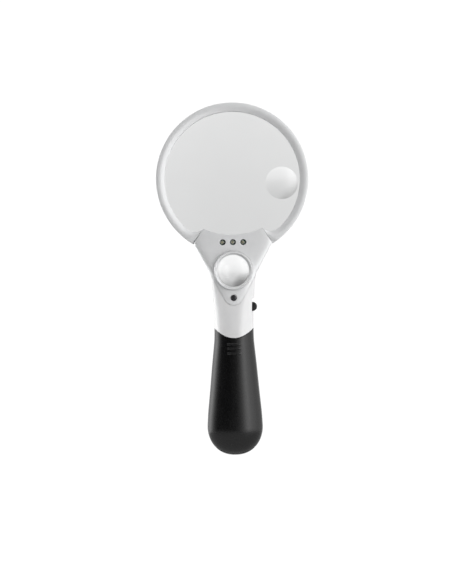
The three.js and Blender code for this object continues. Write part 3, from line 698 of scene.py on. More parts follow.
def whole_case():
    """Both shells as one hollow body, before they part on the middle plane."""
    margin = 0.4
    outside = within(case_form(CASE_BOTTOM, CASE_TOP), sheet(case_outline(margin), -FAR, FAR))
    joined(outside, spigot(SPIGOT_HALF, SPIGOT_DEPTH, HOLDER_TOP + GAP, SPIGOT_TOP))
    room = sheet(case_outline(margin + WALL), -FAR, FAR)
    hollow = within(case_form(SPIGOT_TOP - WALL, CASE_TOP, -WALL), room)
    inner_half, inner_depth = SPIGOT_HALF - WALL, SPIGOT_DEPTH - WALL
    cut(outside, hollow, spigot(inner_half, inner_depth, HOLDER_TOP - 1, SPIGOT_TOP - 1))
    pocket_low, pocket_high = pocket_ends()
    collar = cut(spigot(inner_half + 1, inner_depth + 1, 104, 106.9), spigot(9.9, 7.3, 103, 108))
    joined(outside, collar)
    inserts = [
        rod(TUNNEL_R + 1.6, -9, 9, 0, SMALL_Z, ROUND),
        rod(SMALL_LENS_R + GAP + 1.7, -9, SMALL_EDGE_REAR + GAP + 1.5, 0, SMALL_Z, ROUND),
        rod(LUG_R, -11.5, 11.5, 0, SCREW_Z),
        *(rod(LUG_R, -6.4, 6, *place) for place in rear_screw_places()),
        block(
            (POCKET_BACK, -POCKET_HALF - POCKET_RIM, pocket_low - POCKET_RIM),
            (POCKET_FLOOR + POCKET_RIM, POCKET_HALF + POCKET_RIM, pocket_high + POCKET_RIM),
        ),
    ]
    for insert in inserts:
        joined(outside, within(insert, case_form(120, CASE_TOP, -0.5)))
    return outside


def case_cuts():
    """The bores, pockets and slots that both shells share."""
    head, shank = SCREW_HEAD_R + GAP, SCREW_SHANK_R + GAP
    slot_low, slot_high = KNOB_Z - STEM_HALF - GAP, KNOB_Z + STEM_HALF + KNOB_TRAVEL + GAP
    slot_half = STEM_DEPTH_HALF + GAP
    pocket_low, pocket_high = pocket_ends()
    rear = rear_screw_places()
    return [
        rod(BEZEL_R + GAP, AHEAD, SMALL_EDGE_FRONT - GAP, 0, SMALL_Z, ROUND),
        rod(SMALL_LENS_R + GAP, -12, SMALL_EDGE_REAR + GAP, 0, SMALL_Z, ROUND),
        rod(TUNNEL_R, AHEAD, BEYOND, 0, SMALL_Z, ROUND),
        rod(shank, AHEAD, 8, 0, SCREW_Z),
        rod(head, AHEAD, screw_seat() + GAP, 0, SCREW_Z),
        *(rod(LAMP_R + 0.5, AHEAD, -4, x, LAMP_Z) for x in lamp_places()),
        block((POCKET_BACK - 1, -slot_half, slot_low), (FAR, slot_half, slot_high)),
        block((POCKET_FLOOR, -POCKET_HALF, pocket_low), (FAR, POCKET_HALF, pocket_high)),
        *both_sides(lambda side: tongue(side, LUG_FRONT, LUG_REAR, GAP)),
        *(rod(head, REAR_SCREW_SEAT - GAP, BEYOND, *place) for place in rear),
        *(rod(shank, -5.7, BEYOND, *place) for place in rear),
        block((-LEAD_WAY, -9.9, 103), (LEAD_WAY, -7, 108)),
        lens_form(GAP),
    ]


def neck_shells():
    """The front shell, with a bed for the trim, and the rear shell."""
    whole = cut(whole_case(), *case_cuts())
    rear = placed("shape", whole.data.copy())
    low, high = CASE_BOTTOM - 10, CASE_TOP + 18
    within(rear, block((-FAR, GAP / 2, low), (FAR, FAR, high)))
    under = case_form(CASE_BOTTOM, CASE_TOP, -TRIM_SUNK - GAP)
    cut(whole, cut(sheet(yoke_outline(GAP), AHEAD, TRIM_BACK + GAP), under))
    within(whole, block((-FAR, -FAR, low), (FAR, -GAP / 2, high)))
    return largest(whole), largest(rear)


def front_trim():
    """A thin plate that follows the case's face."""
    under = case_form(CASE_BOTTOM - 2, CASE_TOP + 2, -TRIM_SUNK)
    layer = cut(case_form(CASE_BOTTOM, CASE_TOP, TRIM_PROUD), under)
    plate = within(layer, sheet(yoke_outline(0), AHEAD, TRIM_BACK))
    cuts = [
        *(rod(LAMP_R + GAP, AHEAD, 0, x, LAMP_Z) for x in lamp_places()),
        rod(BEZEL_R + GAP, AHEAD, 0, 0, SMALL_Z, ROUND),
        rod(SCREW_HEAD_R + GAP, AHEAD, 0, 0, SCREW_Z),
        lens_form(GAP),
    ]
    return soften(cut(plate, *cuts), 0.25, 50)


# ---- The small lens ----

def small_lens():
    clear = SMALL_VISIBLE_R + 0.6
    radii = [clear * k / 16 for k in range(17)]
    bulge = [SMALL_BULGE * (1 - (r / clear) ** 2) for r in radii]
    front = [(r, SMALL_EDGE_FRONT - b) for r, b in zip(radii, bulge)]
    rear = [(r, SMALL_EDGE_REAR + b) for r, b in zip(radii, bulge)]
    rim = [(SMALL_LENS_R, SMALL_EDGE_FRONT), (SMALL_LENS_R, SMALL_EDGE_REAR)]
    return turned([*front, *rim, *reversed(rear)], (0, SMALL_Z), "Y", 120)


def small_bezel():
    back = SMALL_EDGE_FRONT - GAP
    corners = [
        (BEZEL_R, back),
        (BEZEL_R, BEZEL_FRONT),
        (SMALL_VISIBLE_R + 1.6, BEZEL_FRONT),
        (SMALL_VISIBLE_R, BEZEL_FRONT + 2),
        (SMALL_VISIBLE_R + 0.9, back),
    ]
    return turned(eased(corners, (0.2, 0.9, 0.5, 0.3, 0.2), 5), (0, SMALL_Z), "Y", 120)


# ---- Lamps, switch and screws ----

def lamp(x):
    """A clear lamp body that looks along -Y."""
    turns = np.linspace(0, math.pi / 2, 10)
    dome = [(LAMP_R * math.cos(t), LAMP_TIP + LAMP_R * (1 - math.sin(t))) for t in turns]
    dome[-1] = (0, LAMP_TIP)
    flange = LAMP_BASE - 0.9
    corners = [(0, LAMP_BASE), (LAMP_FLANGE_R, LAMP_BASE), (LAMP_FLANGE_R, flange), (LAMP_R, flange)]
    return turned([*eased(corners, 0.15, 3, False), *dome], (x, LAMP_Z), "Y", 48)


def lamp_frame(x):
    """The lamp's two legs, with the cup on one of them."""
    legs = []
    for leg in (x - LEG_OFFSET, x + LEG_OFFSET):
        low = (leg - LEG_HALF, LAMP_CUP + 0.4, LAMP_Z - LEG_HALF)
        legs.append(block(low, (leg + LEG_HALF, -0.4, LAMP_Z + LEG_HALF)))
    corners = [(0.3, 0.3), (1, 0.1), (1.35, -0.6), (1.15, -0.6), (0.7, -0.05), (0.3, -0.05)]
    cup = eased([(r, LAMP_CUP + y) for r, y in corners], 0.06, 2)
    return together(*legs, turned(cup, (x - LEG_HALF, LAMP_Z), "Y", 32))


def lamp_phosphor(x):
    """A bead in the cup."""
    corners = [(0, 0.02), (0.66, -0.02), (0.6, -0.16), (0.3, -0.26), (0, -0.3)]
    return turned([(r, LAMP_CUP + y) for r, y in corners], (x - LEG_HALF, LAMP_Z), "Y", 24)


def switch_knob():
    """A D-shaped thumb piece with grooves, on a stem."""
    half = (KNOB_HIGH.z - KNOB_LOW.z) / 2
    flank, tip = KNOB_SEAT + 1, KNOB_HIGH.x
    turns = np.linspace(-math.pi / 2, math.pi / 2, 25)
    nose = [(flank + (tip - flank) * math.cos(t), KNOB_Z + half * math.sin(t)) for t in turns]
    thumb = sheet([(KNOB_SEAT, KNOB_LOW.z), *nose, (KNOB_SEAT, KNOB_HIGH.z)], KNOB_LOW.y, KNOB_HIGH.y)
    soften(thumb, 0.4, 40, 3)
    grooves = []
    for k in (-2, -1, 0, 1, 2):
        z = KNOB_Z + THUMB_GROOVE_PITCH * k
        deep = tip - 0.3 - 0.1 * k * k
        groove = [(deep, z - 0.22), (deep, z + 0.22), (tip + 1, z + 0.5), (tip + 1, z - 0.5)]
        grooves.append(sheet(eased(groove, 0.1, 2), -8, 8))
    cut(thumb, *grooves)
    stem_low = (STEM_END, -STEM_DEPTH_HALF, KNOB_Z - STEM_HALF)
    return joined(thumb, block(stem_low, (KNOB_SEAT + 0.5, STEM_DEPTH_HALF, KNOB_Z + STEM_HALF)))


def screw(x, z, seat, head_height, length, facing):
    """A pan head screw with a cross recess. facing is -1 if its head looks along -Y."""
    top = -head_height
    corners = [(0, top), (SCREW_HEAD_R - 0.3, top), (SCREW_HEAD_R, 0), (SCREW_SHANK_R, 0)]
    head = eased(corners, (0, 0.9, 0.25, 0.1), 5, False)
    thread = []
    for k in range(int((length - 1.6) / THREAD_PITCH)):
        y = 0.5 + THREAD_PITCH * k
        thread += [(SCREW_SHANK_R - THREAD_DEPTH, y), (SCREW_SHANK_R, y + THREAD_PITCH / 2)]
    profile = [*head, *thread, (SCREW_SHANK_R - 0.3, length - 0.9), (0.2, length), (0, length)]
    shape = turned(profile, (0, 0), "Y", 48)
    arms = []
    for wide, tall in ((0.32, 1.6), (1.6, 0.32)):
        mouth = [(-wide, -tall), (wide, -tall), (wide, tall), (-wide, tall)]
        levels = ((top - 0.5, 1.05), (top + 0.8, 0.7))
        arms.append(loft([np.array([(share * a, y, share * b) for a, b in mouth]) for y, share in levels]))
    cut(shape, *arms)
    turn = Matrix.Rotation(math.pi if facing > 0 else 0, 4, "Z")
    shape.data.transform(Matrix.Translation((x, seat, z)) @ turn)
    return shape


# ---- The grip ----

def case_table(offset, top, count):
    """Rings of the case at many heights, for finding a point on it at any height."""
    dome = DOME_TOP + min(offset, 0)
    low = [DOME_TOP - dome * math.sin(t) for t in np.linspace(math.pi / 2, 0, 90)]
    heights = np.array(low + list(np.arange(DOME_TOP + 0.5, top, 0.5)))
    rings = np.array([oval(*section(z, offset), count) for z in heights])
    return heights, rings


def on_case(table, heights_wanted):
    """The table's points at one height for each column."""
    heights, rings = table
    columns = range(rings.shape[1])
    x = [np.interp(heights_wanted[k], heights, rings[:, k, 0]) for k in columns]
    y = [np.interp(heights_wanted[k], heights, rings[:, k, 1]) for k in columns]
    return np.column_stack([x, y, heights_wanted])


def where_seam(table, height_at, low, high):
    """For each column, the height where the case meets a seam, found by halving."""
    count = table[1].shape[1]
    low, high = np.full(count, float(low)), np.full(count, float(high))
    for _ in range(30):
        middle = (low + high) / 2
        above = middle > height_at(on_case(table, middle)[:, 0])
        high, low = np.where(above, middle, high), np.where(above, low, middle)
    return (low + high) / 2


def ridge_rise(points):
    """How far the three thumb ridges stand out at each point of the sleeve's front."""
    ends = np.clip((RIDGE_HALF - np.abs(points[:, 0])) / 2, 0, 1)
    rise = np.zeros(len(points))
    for z in RIDGES_Z:
        across = np.clip(1 - ((points[:, 2] - z) / RIDGE_TALL) ** 2, 0, 1)
        rise = np.maximum(rise, RIDGE_PROUD * np.sqrt(across))
    return rise * np.sqrt(ends * (2 - ends)) * (points[:, 1] < 0)


def grip_rows(bottom, top):
    """Heights for the rows of the sleeve's outside, from its lower seam to its upper seam."""
    bend, ridges_low = 22.0, 88.0
    rows = [bottom + (bend - bottom) * s for s in (1 - np.cos(np.linspace(0.1, math.pi / 2, 16)))]
    rows += [np.full(len(bottom), z) for z in np.arange(bend + 2, ridges_low, 2.2)]
    rows += [ridges_low + (top - ridges_low) * s for s in np.linspace(0, 1, 70)]
    return rows


def grip_sleeve(count=176):
    """The hollow sleeve, up from its foot, over its rounded rim and down inside."""
    outer = case_table(0.0, 122, count)
    inner = case_table(-GRIP_WALL, 122, count)
    edge = 0.5
    top = where_seam(outer, lambda x: seam(x) - GAP / 2, 90, 120)
    bottom = where_seam(outer, lambda x: cap_seam(x) + GAP / 2, 0.02, 20)
    foot = on_case(outer, bottom)
    under = []
    for share in (0.02, 0.3, 0.6, 0.85, 0.96):
        ring = foot * (share, share, 0)
        ring[:, 2] = cap_seam(ring[:, 0]) + GAP / 2
        under.append(ring)
    outside = []
    for heights in grip_rows(bottom + edge, top - edge):
        ring = on_case(outer, heights)
        ring[:, 1] -= ridge_rise(ring)
        outside.append(ring)
    start = on_case(outer, top - edge)
    drawn = on_case(case_table(-edge, 122, count), top - edge)
    rim = []
    for turn in np.radians((25, 45, 65, 90)):
        ring = start.copy()
        ring[:, :2] += (drawn - ring)[:, :2] * (1 - math.cos(turn))
        ring[:, 2] += edge * math.sin(turn)
        rim.append(ring)
    inside = [on_case(inner, top), on_case(inner, top - 0.6)]
    for share in (0.9, 0.75, 0.6, 0.45, 0.3, 0.2, 0.12, 0.06, 0.02, 0):
        inside.append(on_case(inner, GRIP_FLOOR + (top - GRIP_FLOOR) * share))
    last = inside[-1]
    inside += [last * (0.5, 0.5, 1), last * (0.02, 0.02, 1)]
    sleeve = loft([*under, *outside, *rim, *inside])
    hole = STUD_R + GAP
    return cut(sleeve, turned([(0, -1), (hole, -1), (hole, 10), (0, 10)], (0, 0), "Z", 48))


def grip_end_cap(count=176):
    """The crescent under the sleeve, with the stud that holds it."""
    outer = case_table(0.0, 40, count)
    edge = 0.4
    seam_height = where_seam(outer, lambda x: cap_seam(x) - GAP / 2, 0.02, 20)
    shares = 1 - np.cos(np.linspace(0, math.pi / 2, 14))
    outside = [on_case(outer, 0.004 + (seam_height - edge) * share) for share in shares]
    rim = on_case(outer, seam_height)
    over = []
    for share in (0.975, 0.9, 0.7, 0.4, 0.02):
        ring = rim * (share, share, 0)
        ring[:, 2] = cap_seam(ring[:, 0]) - GAP / 2
        over.append(ring)
    cap = loft([*outside, *over])
    stud = eased([(0, 1), (STUD_R, 1), (STUD_R, 7.4), (0, 7.4)], (0, 0, 0.8, 0), 4, False)
    return joined(cap, turned(stud, (0, 0), "Z", 48))


# ---- The battery holder and its cells ----

def battery_holder():
    """Two plates on two rails, with a stem up into the neck and a way for the leads."""
    low, high = HOLDER_LOW.z, HOLDER_TOP
    half, depth = HOLDER_HIGH.x, HOLDER_HIGH.y
    floor, ceiling = low + HOLDER_PLATE, high - HOLDER_PLATE
    holder = spigot(half, depth, low, floor)
    parts = [
        spigot(half, depth, ceiling, high),
        spigot(9.6, 7, high - 1, 109),
        spigot(12.6, 10, 107.2, HOLDER_HIGH.z),
        *(block((x, -4.2, floor - 1), (x + 2.9, 4.2, ceiling + 1)) for x in (-14.3, 11.4)),
    ]
    joined(holder, *parts)
    cut(
        holder,
        block((-LEAD_WAY, -20, low - 5), (LEAD_WAY, -7.4, high + 0.1)),
        turned([(0, ceiling - 1), (4, ceiling - 1), (4, 120), (0, 120)], (0, 0), "Z", 48),
        block((-LEAD_WAY, -20, high - 0.2), (LEAD_WAY, -2, 102.6)),
        block((-LEAD_WAY, -20, high - 0.2), (LEAD_WAY, -6.2, 120)),
    )
    return soften(holder, 0.3, 50)


def cell(name, upside_down):
    """A cell in the place that its CAD node holds. Its button is up, unless it is upside down."""
    low, high = node_box(name)
    radius, length = (high.x - low.x) / 2, high.z - low.z
    corners = [
        (0, 0),
        (radius - 0.9, 0),
        (radius - 0.9, 0.25),
        (radius, 0.25),
        (radius, length - 1.1),
        (radius - 1, length - 1.1),
        (radius - 1, length - 1.4),
        (2.6, length - 1.4),
        (2.6, length - 1),
        (1.9, length - 1),
        (1.9, length),
        (0, length),
    ]
    rounding = (0, 0.2, 0.1, 0.4, 0.6, 0.2, 0.1, 0.1, 0.2, 0.1, 0.3, 0)
    shape = turned(eased(corners, rounding, 4, False), (0, 0), "Z", 64)
    flip = Matrix.Translation((0, 0, length)) @ Matrix.Rotation(math.pi, 4, "X")
    place = Matrix.Translation(((low.x + high.x) / 2, (low.y + high.y) / 2, low.z))
    shape.data.transform(place @ (flip if upside_down else Matrix.Identity(4)))
    return shape


def tube(points, radius):
    """A round wire through points."""
    curve = bpy.data.curves.new("wire", "CURVE")
    curve.dimensions = "3D"
    spline = curve.splines.new("POLY")
    spline.points.add(len(points) - 1)
    for point, place in zip(spline.points, points):
        point.co = (*place, 1)
    curve.bevel_depth = radius
    curve.bevel_resolution = 3
    curve.use_fill_caps = True
    holder = placed("wire", curve)
    view = bpy.context.evaluated_depsgraph_get()
    mesh = bpy.data.meshes.new_from_object(holder.evaluated_get(view))
    bpy.data.curves.remove(curve)
    with edited(mesh) as work:
        bmesh.ops.remove_doubles(work, verts=work.verts, dist=MERGED)
    return placed("shape", mesh)


def spring(name, upside_down):
    """A narrowing coil in the place of its CAD node."""
    centre = node_centre(name)
    low, high = node_box(name)
    coils, wide, narrow, steps = 2.5, 3.4, 2.0, 90
    climb = high.z - low.z - 2 * SPRING_WIRE_R
    places = []
    for k in range(steps + 1):
        part = k / steps
        turn = 2 * math.pi * coils * part
        radius = wide - (wide - narrow) * part
        rise = SPRING_WIRE_R + climb * part
        z = high.z - rise if upside_down else low.z + rise
        places.append((centre.x + radius * math.cos(turn), centre.y + radius * math.sin(turn), z))
    return tube(places, SPRING_WIRE_R)


# ---- Materials ----

def material(name, **values):
    """A new material with its Principled shader's own sockets set, and its node tree's parts."""
    made = bpy.data.materials.new(name)
    made.use_nodes = True
    nodes = made.node_tree.nodes
    shader = nodes["Principled BSDF"]
    for socket, value in values.items():
        shader.inputs[socket.replace("_", " ")].default_value = value
    return made, nodes, made.node_tree.links, shader


def noise(nodes, links, scale, detail=4.0, stretch=(1, 1, 1)):
    place = nodes.new("ShaderNodeTexCoord")
    mapping = nodes.new("ShaderNodeMapping")
    mapping.inputs["Scale"].default_value = stretch
    texture = nodes.new("ShaderNodeTexNoise")
    texture.inputs["Scale"].default_value = scale
    texture.inputs["Detail"].default_value = detail
    links.new(place.outputs["Object"], mapping.inputs["Vector"])
    links.new(mapping.outputs["Vector"], texture.inputs["Vector"])
    return texture.outputs["Fac"]


def spread(nodes, links, source, low, high, start=0.3, end=0.7, kind="LINEAR"):
    """A value between start and end carried to one between low and high."""
    ranged = nodes.new("ShaderNodeMapRange")
    ranged.interpolation_type = kind
    numbers = {"From Min": start, "From Max": end, "To Min": low, "To Max": high}
    for socket, number in numbers.items():
        ranged.inputs[socket].default_value = number
    links.new(source, ranged.inputs["Value"])
    return ranged.outputs["Result"]


def ramped(nodes, links, source, stops, kind="LINEAR"):
    """A colour for a value, from stops of (position, colour)."""
    ramp = nodes.new("ShaderNodeValToRGB")
    ramp.color_ramp.interpolation = kind
    elements = ramp.color_ramp.elements
    while len(elements) < len(stops):
        elements.new(0.5)
    for element, (position, colour) in zip(elements, stops):
        element.position = position
        element.color = (*colour, 1)
    links.new(source, ramp.inputs["Fac"])
    return ramp.outputs["Color"]


def tinted(nodes, links, source, dark, light):
    return ramped(nodes, links, source, ((0.35, dark), (0.65, light)))


def bumped(nodes, links, shader, source, depth, strength=1.0):
    bump = nodes.new("ShaderNodeBump")
    bump.inputs["Strength"].default_value = strength
    bump.inputs["Distance"].default_value = depth
    links.new(source, bump.inputs["Height"])
    links.new(bump.outputs["Normal"], shader.inputs["Normal"])


def moulded(name, dark, light, rough, grain=2600, depth=4e-6, **values):
    """A moulded or painted plastic: slight mottling, uneven gloss and a fine grain."""
    made, nodes, links, shader = material(name, **values)
    mottle = noise(nodes, links, 120, 5)
    links.new(tinted(nodes, links, mottle, dark, light), shader.inputs["Base Color"])
    gloss = noise(nodes, links, 420, 6)
    links.new(spread(nodes, links, gloss, rough[0], rough[1]), shader.inputs["Roughness"])
    bumped(nodes, links, shader, noise(nodes, links, grain, 3), depth)
    return made


def silver_plastic():
    dark, light = (0.81, 0.815, 0.82), (0.83, 0.835, 0.84)
    return moulded("silver_plastic", dark, light, (0.59, 0.62), 2400, 1e-6, Metallic=0.6)


def white_plastic():
    dark, light = (0.785, 0.785, 0.79), (0.81, 0.81, 0.812)
    return moulded("white_plastic", dark, light, (0.22, 0.26), 1800, 1e-6, IOR=1.72)


def black_grip():
    return moulded("black_grip", (0.0028, 0.0028, 0.003), (0.004, 0.004, 0.0043), (0.23, 0.28), 2400, 2e-6)


def black_plastic():
    return moulded("black_plastic", (0.008, 0.008, 0.009), (0.014, 0.014, 0.015), (0.35, 0.5), 2200, 8e-6)


def clear(name, ior, tint):
    """A clear solid, very slightly uneven."""
    made, nodes, links, shader = material(name, IOR=ior, Transmission_Weight=1.0)
    faint = noise(nodes, links, 60, 3)
    lighter = tuple(c + 0.01 for c in tint)
    links.new(tinted(nodes, links, faint, tint, lighter), shader.inputs["Base Color"])
    haze = noise(nodes, links, 900, 6)
    links.new(spread(nodes, links, haze, 0.0, 0.02, 0.5, 0.8), shader.inputs["Roughness"])
    return made


def metal(name, dark, light, rough):
    """A bare metal, faintly brushed."""
    made, nodes, links, shader = material(name, Metallic=1.0)
    mottle = noise(nodes, links, 700, 5)
    links.new(tinted(nodes, links, mottle, dark, light), shader.inputs["Base Color"])
    brushed = noise(nodes, links, 900, 4, (1, 1, 6))
    links.new(spread(nodes, links, brushed, rough[0], rough[1]), shader.inputs["Roughness"])
    bumped(nodes, links, shader, brushed, 3e-6)
    return made


def cell_jacket():
    """A printed sleeve: one colour below, a metallic band above, and the bare steel of the ends."""
    made, nodes, links, shader = material("cell_jacket")
    place = nodes.new("ShaderNodeTexCoord")
    parts = nodes.new("ShaderNodeSeparateXYZ")
    links.new(place.outputs["Generated"], parts.inputs["Vector"])
    stops = (
        (0.0, (0.5, 0.5, 0.5)),
        (0.012, (0.012, 0.07, 0.16)),
        (0.68, (0.75, 0.76, 0.78)),
        (0.7, (0.55, 0.3, 0.08)),
        (0.968, (0.5, 0.5, 0.5)),
    )
    bands = ramped(nodes, links, parts.outputs["Z"], stops, "CONSTANT")
    links.new(bands, shader.inputs["Base Color"])
    links.new(spread(nodes, links, noise(nodes, links, 300, 5), 0.24, 0.36), shader.inputs["Roughness"])
    shader.inputs["Metallic"].default_value = 0.7
    return made


def circuit_board():
    return moulded("circuit_board", (0.008, 0.07, 0.03), (0.012, 0.1, 0.045), (0.3, 0.45), 1200, 6e-6)


FINISHES = {
    "silver_plastic": silver_plastic(),
    "white_plastic": white_plastic(),
    "black_grip": black_grip(),
    "black_plastic": black_plastic(),
    "clear_acrylic": clear("clear_acrylic", 1.49, (0.975, 0.98, 0.98)),
    "lamp_epoxy": clear("lamp_epoxy", 1.53, (0.97, 0.975, 0.96)),
    "black_steel": metal("black_steel", (0.07, 0.07, 0.075), (0.13, 0.13, 0.135), (0.28, 0.42)),
    "plated_steel": metal("plated_steel", (0.55, 0.55, 0.54), (0.68, 0.68, 0.67), (0.22, 0.36)),
    "circuit_board": circuit_board(),
    "resistor_body": moulded("resistor_body", (0.5, 0.36, 0.2), (0.58, 0.43, 0.25), (0.4, 0.5)),
    "red_insulation": moulded("red_insulation", (0.4, 0.012, 0.01), (0.46, 0.016, 0.012), (0.35, 0.45)),
    "black_insulation": moulded("black_insulation", (0.008,) * 3, (0.013,) * 3, (0.35, 0.45)),
    "cell_jacket": cell_jacket(),
    "lamp_phosphor": moulded("lamp_phosphor", (0.48, 0.48, 0.3), (0.58, 0.58, 0.38), (0.5, 0.6)),
}


# ---- The assembly ----

def build_head():
    for shape, node in (
        (front_ring, "front_ring"),
        (rear_ring, "rear_ring"),
        (front_trim, "front_trim"),
        (small_bezel, "small_lens_bezel"),
    ):
        replace(shape(), node, "silver_plastic")
    replace(main_lens(), "main_lens", "clear_acrylic", smooth=11)
    replace(small_lens(), "small_lens", "clear_acrylic", smooth=30)
    front, rear = neck_shells()
    replace(front, "neck_front_shell", "white_plastic")
    replace(rear, "neck_rear_shell", "white_plastic")


def build_lamps():
    for name, x in zip(("left", "middle", "right"), lamp_places()):
        replace(lamp(x), f"led_{name}", "lamp_epoxy")
        deliver(lamp_frame(x), f"led_{name}_frame", "plated_steel")
        deliver(lamp_phosphor(x), f"led_{name}_phosphor", "lamp_phosphor")


def build_screws():
    front = screw(0, SCREW_Z, screw_seat(), FRONT_HEAD_HEIGHT, 15, -1)
    replace(front, "front_screw", "black_steel")
    for name, place in zip(("left", "right"), rear_screw_places()):
        rear = screw(*place, REAR_SCREW_SEAT, REAR_HEAD_HEIGHT, 10, 1)
        replace(rear, f"rear_screw_{name}", "plated_steel")


def build_grip():
    replace(grip_sleeve(), "grip_sleeve", "black_grip", "grip")
    replace(grip_end_cap(), "grip_end_cap", "black_grip", "grip")


def build_power():
    replace(battery_holder(), "battery_holder", "black_plastic")
    for name, upside_down in (("left", False), ("rear", True), ("right", False)):
        node = f"battery_{name}"
        replace(cell(node, upside_down), node, "cell_jacket")
        node = f"battery_spring_{name}"
        replace(spring(node, upside_down), node, "plated_steel")


def build_switch():
    replace(switch_knob(), "switch_knob", "black_plastic", "switch_slider")


def finish_cad_nodes():
    """The CAD nodes that stay in view get the same finishes."""
    kept = {
        "led_board": "circuit_board",
        "led_resistor": "resistor_body",
        "slide_switch_body": "plated_steel",
        "contact_top_left": "plated_steel",
        "contact_top_bridge": "plated_steel",
        "contact_bottom_bridge": "plated_steel",
        "contact_bottom_right": "plated_steel",
        "red_wire_battery_to_switch": "red_insulation",
        "red_wire_switch_to_leds": "red_insulation",
        "black_wire_battery_to_leds": "black_insulation",
    }
    for node, slot in kept.items():
        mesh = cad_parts[node].data
        mesh.materials.clear()
        mesh.materials.append(FINISHES[slot])


# ---- Camera, floor and light ----

VIEW_DISTANCE = 1.2  # metres from the camera to the object
VIEW_HEIGHT = 0.5218  # what the picture's longer side spans there
AIM = Vector((0.00136, 0, 0.0923))
LEAN = 0.712  # degrees that the object's top leans to the left


def add_camera():
    data = bpy.data.cameras.new("camera")
    data.sensor_width = 36
    data.lens = data.sensor_width * VIEW_DISTANCE / VIEW_HEIGHT
    camera = placed("camera", data)
    turn = Matrix.Rotation(math.radians(LEAN), 4, "Y") @ Matrix.Rotation(math.pi / 2, 4, "X")
    camera.matrix_world = Matrix.Translation(AIM - Vector((0, VIEW_DISTANCE, 0))) @ turn
    bpy.context.scene.camera = camera


def seen_by_camera(nodes, links, others, camera, output):
    """The camera sees one shader, and all the other rays see another."""
    path = nodes.new("ShaderNodeLightPath")
    mix = nodes.new("ShaderNodeMixShader")
    links.new(path.outputs["Is Camera Ray"], mix.inputs["Fac"])
    links.new(others, mix.inputs[1])
    links.new(camera, mix.inputs[2])
    links.new(mix.outputs["Shader"], nodes[output].inputs["Surface"])


def add_floor():
    """A pale floor, far enough below for the sleeve to slide off."""
    mesh = bpy.data.meshes.new("floor")
    with edited(mesh) as work:
        bmesh.ops.create_circle(work, cap_ends=True, radius=0.6, segments=96)
    floor = placed("floor", mesh)
    floor.location.z = BOTTOM - 0.13
    made, nodes, links, shader = material("floor", Roughness=0.9, Emission_Strength=0.7)
    shader.inputs["Base Color"].default_value = (0.8, 0.8, 0.8, 1)
    shader.inputs["Emission Color"].default_value = (1, 1, 1, 1)
    lit = nodes.new("ShaderNodeBsdfDiffuse")
    lit.inputs["Color"].default_value = (0.5, 0.5, 0.5, 1)
    seen_by_camera(nodes, links, lit.outputs["BSDF"], shader.outputs["BSDF"], "Material Output")
    mesh.materials.append(made)


# How bright the studio is at the height of the object, by azimuth: 0 is behind the camera, and
# 90 is at the right. The camera stands in front of a dark wall, with a tall lamp at its right.
AROUND = (
    (-180, 0.3), (-160, 0.3), (-145, 0.5), (-132, 1.3), (-118, 2.5), (-105, 2.7),
    (-90, 1.5), (-74, 0.5), (-60, 0.06), (-20, 0.02), (4, 0.07), (20, 0.9),
    (30, 2.5), (40, 3.0), (50, 2.0), (62, 1.8), (90, 1.1), (108, 1.0),
    (125, 0.7), (140, 0.5), (160, 0.3), (180, 0.3),
)
# How bright the wall behind the object is, by elevation. It is what the lenses show.
BEHIND = (
    (-25, 1.0), (-12, 0.98), (-4, 0.94), (0.7, 0.88), (2.6, 0.83),
    (4.7, 0.77), (7, 0.73), (13, 0.65), (18, 0.52), (25, 0.4),
)
BRIGHTEST = 3.2
BELOW, ABOVE = 0.52, 0.74  # how bright it is under the object and over it
# Azimuth and elevation, then the angles from there at which each fades: inner and outer.
SIDE_LAMP, SIDE_LAMP_LEVEL = (-100, 35, 12, 38), 2.6
SHADED_WALL, SHADE = (-163, 22, 6, 20), 0.5
WALL_EXTENT = (180, 3, 30, 48)


def direction(azimuth, elevation):
    """A unit direction: azimuth 0 is towards the camera, 90 to the right."""
    a, e = math.radians(azimuth), math.radians(elevation)
    return (math.sin(a) * math.cos(e), -math.cos(a) * math.cos(e), math.sin(e))


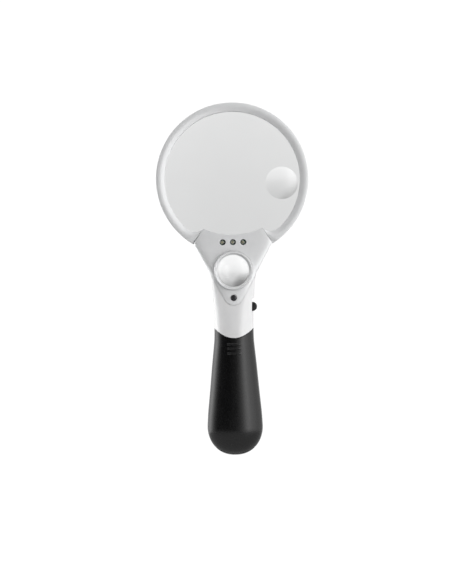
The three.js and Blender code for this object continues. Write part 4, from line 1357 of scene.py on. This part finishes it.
def add_world():
    """A white studio seen in gloss and through the lenses. The camera itself sees plain white."""
    world = bpy.data.worlds.new("studio")
    bpy.context.scene.world = world
    world.use_nodes = True
    nodes, links = world.node_tree.nodes, world.node_tree.links
    place = nodes.new("ShaderNodeTexCoord")
    parts = nodes.new("ShaderNodeSeparateXYZ")
    links.new(place.outputs["Generated"], parts.inputs["Vector"])

    def calculate(operation, *values):
        maths = nodes.new("ShaderNodeMath")
        maths.operation = operation
        for socket, value in zip(maths.inputs, values):
            if isinstance(value, (int, float)):
                socket.default_value = value
            else:
                links.new(value, socket)
        return maths.outputs["Value"]

    def carried(value, low, high, to_low, to_high, kind="SMOOTHSTEP"):
        return spread(nodes, links, value, to_low, to_high, low, high, kind)

    def table(value, stops):
        greys = [(position, [level / BRIGHTEST] * 3) for position, level in stops]
        return calculate("MULTIPLY", ramped(nodes, links, value, greys), BRIGHTEST)

    def blended(one, other, share):
        kept = calculate("MULTIPLY", one, calculate("SUBTRACT", 1.0, share))
        return calculate("ADD", kept, calculate("MULTIPLY", other, share))

    def lobe(azimuth, elevation, inner, outer):
        dot = nodes.new("ShaderNodeVectorMath")
        dot.operation = "DOT_PRODUCT"
        dot.inputs[1].default_value = direction(azimuth, elevation)
        links.new(place.outputs["Generated"], dot.inputs[0])
        far, near = math.cos(math.radians(outer)), math.cos(math.radians(inner))
        return carried(dot.outputs["Value"], far, near, 0, 1)

    away = calculate("MULTIPLY", parts.outputs["Y"], -1.0)
    turn = calculate("ARCTAN2", parts.outputs["X"], away)
    turn = calculate("ADD", calculate("DIVIDE", turn, 2 * math.pi), 0.5)
    around = table(turn, [((azimuth + 180) / 360, level) for azimuth, level in AROUND])
    overhead = carried(parts.outputs["Z"], -0.3, 0.5, BELOW, ABOVE)
    level_band = carried(calculate("ABSOLUTE", parts.outputs["Z"]), 0.5, 0.85, 1, 0)
    studio = blended(overhead, around, level_band)
    side_lamp = calculate("MULTIPLY", lobe(*SIDE_LAMP), SIDE_LAMP_LEVEL)
    studio = calculate("ADD", studio, side_lamp)
    height = carried(parts.outputs["Z"], -0.5, 0.5, 0, 1, "LINEAR")
    stops = [(math.sin(math.radians(elevation)) + 0.5, level) for elevation, level in BEHIND]
    wall = table(height, stops)
    wall = blended(wall, calculate("MULTIPLY", wall, SHADE), lobe(*SHADED_WALL))
    studio = blended(studio, wall, lobe(*WALL_EXTENT))

    background = nodes["Background"]
    background.inputs["Color"].default_value = (1, 1, 1, 1)
    links.new(studio, background.inputs["Strength"])
    white = nodes.new("ShaderNodeBackground")
    white.inputs["Color"].default_value = (1, 1, 1, 1)
    white.inputs["Strength"].default_value = 1.05
    around, plain = background.outputs["Background"], white.outputs["Background"]
    seen_by_camera(nodes, links, around, plain, "World Output")


add_camera()
add_floor()
add_world()
build_head()
build_lamps()
build_screws()
build_grip()
build_power()
build_switch()
finish_cad_nodes()
bpy.context.scene.view_settings.view_transform = "Standard"
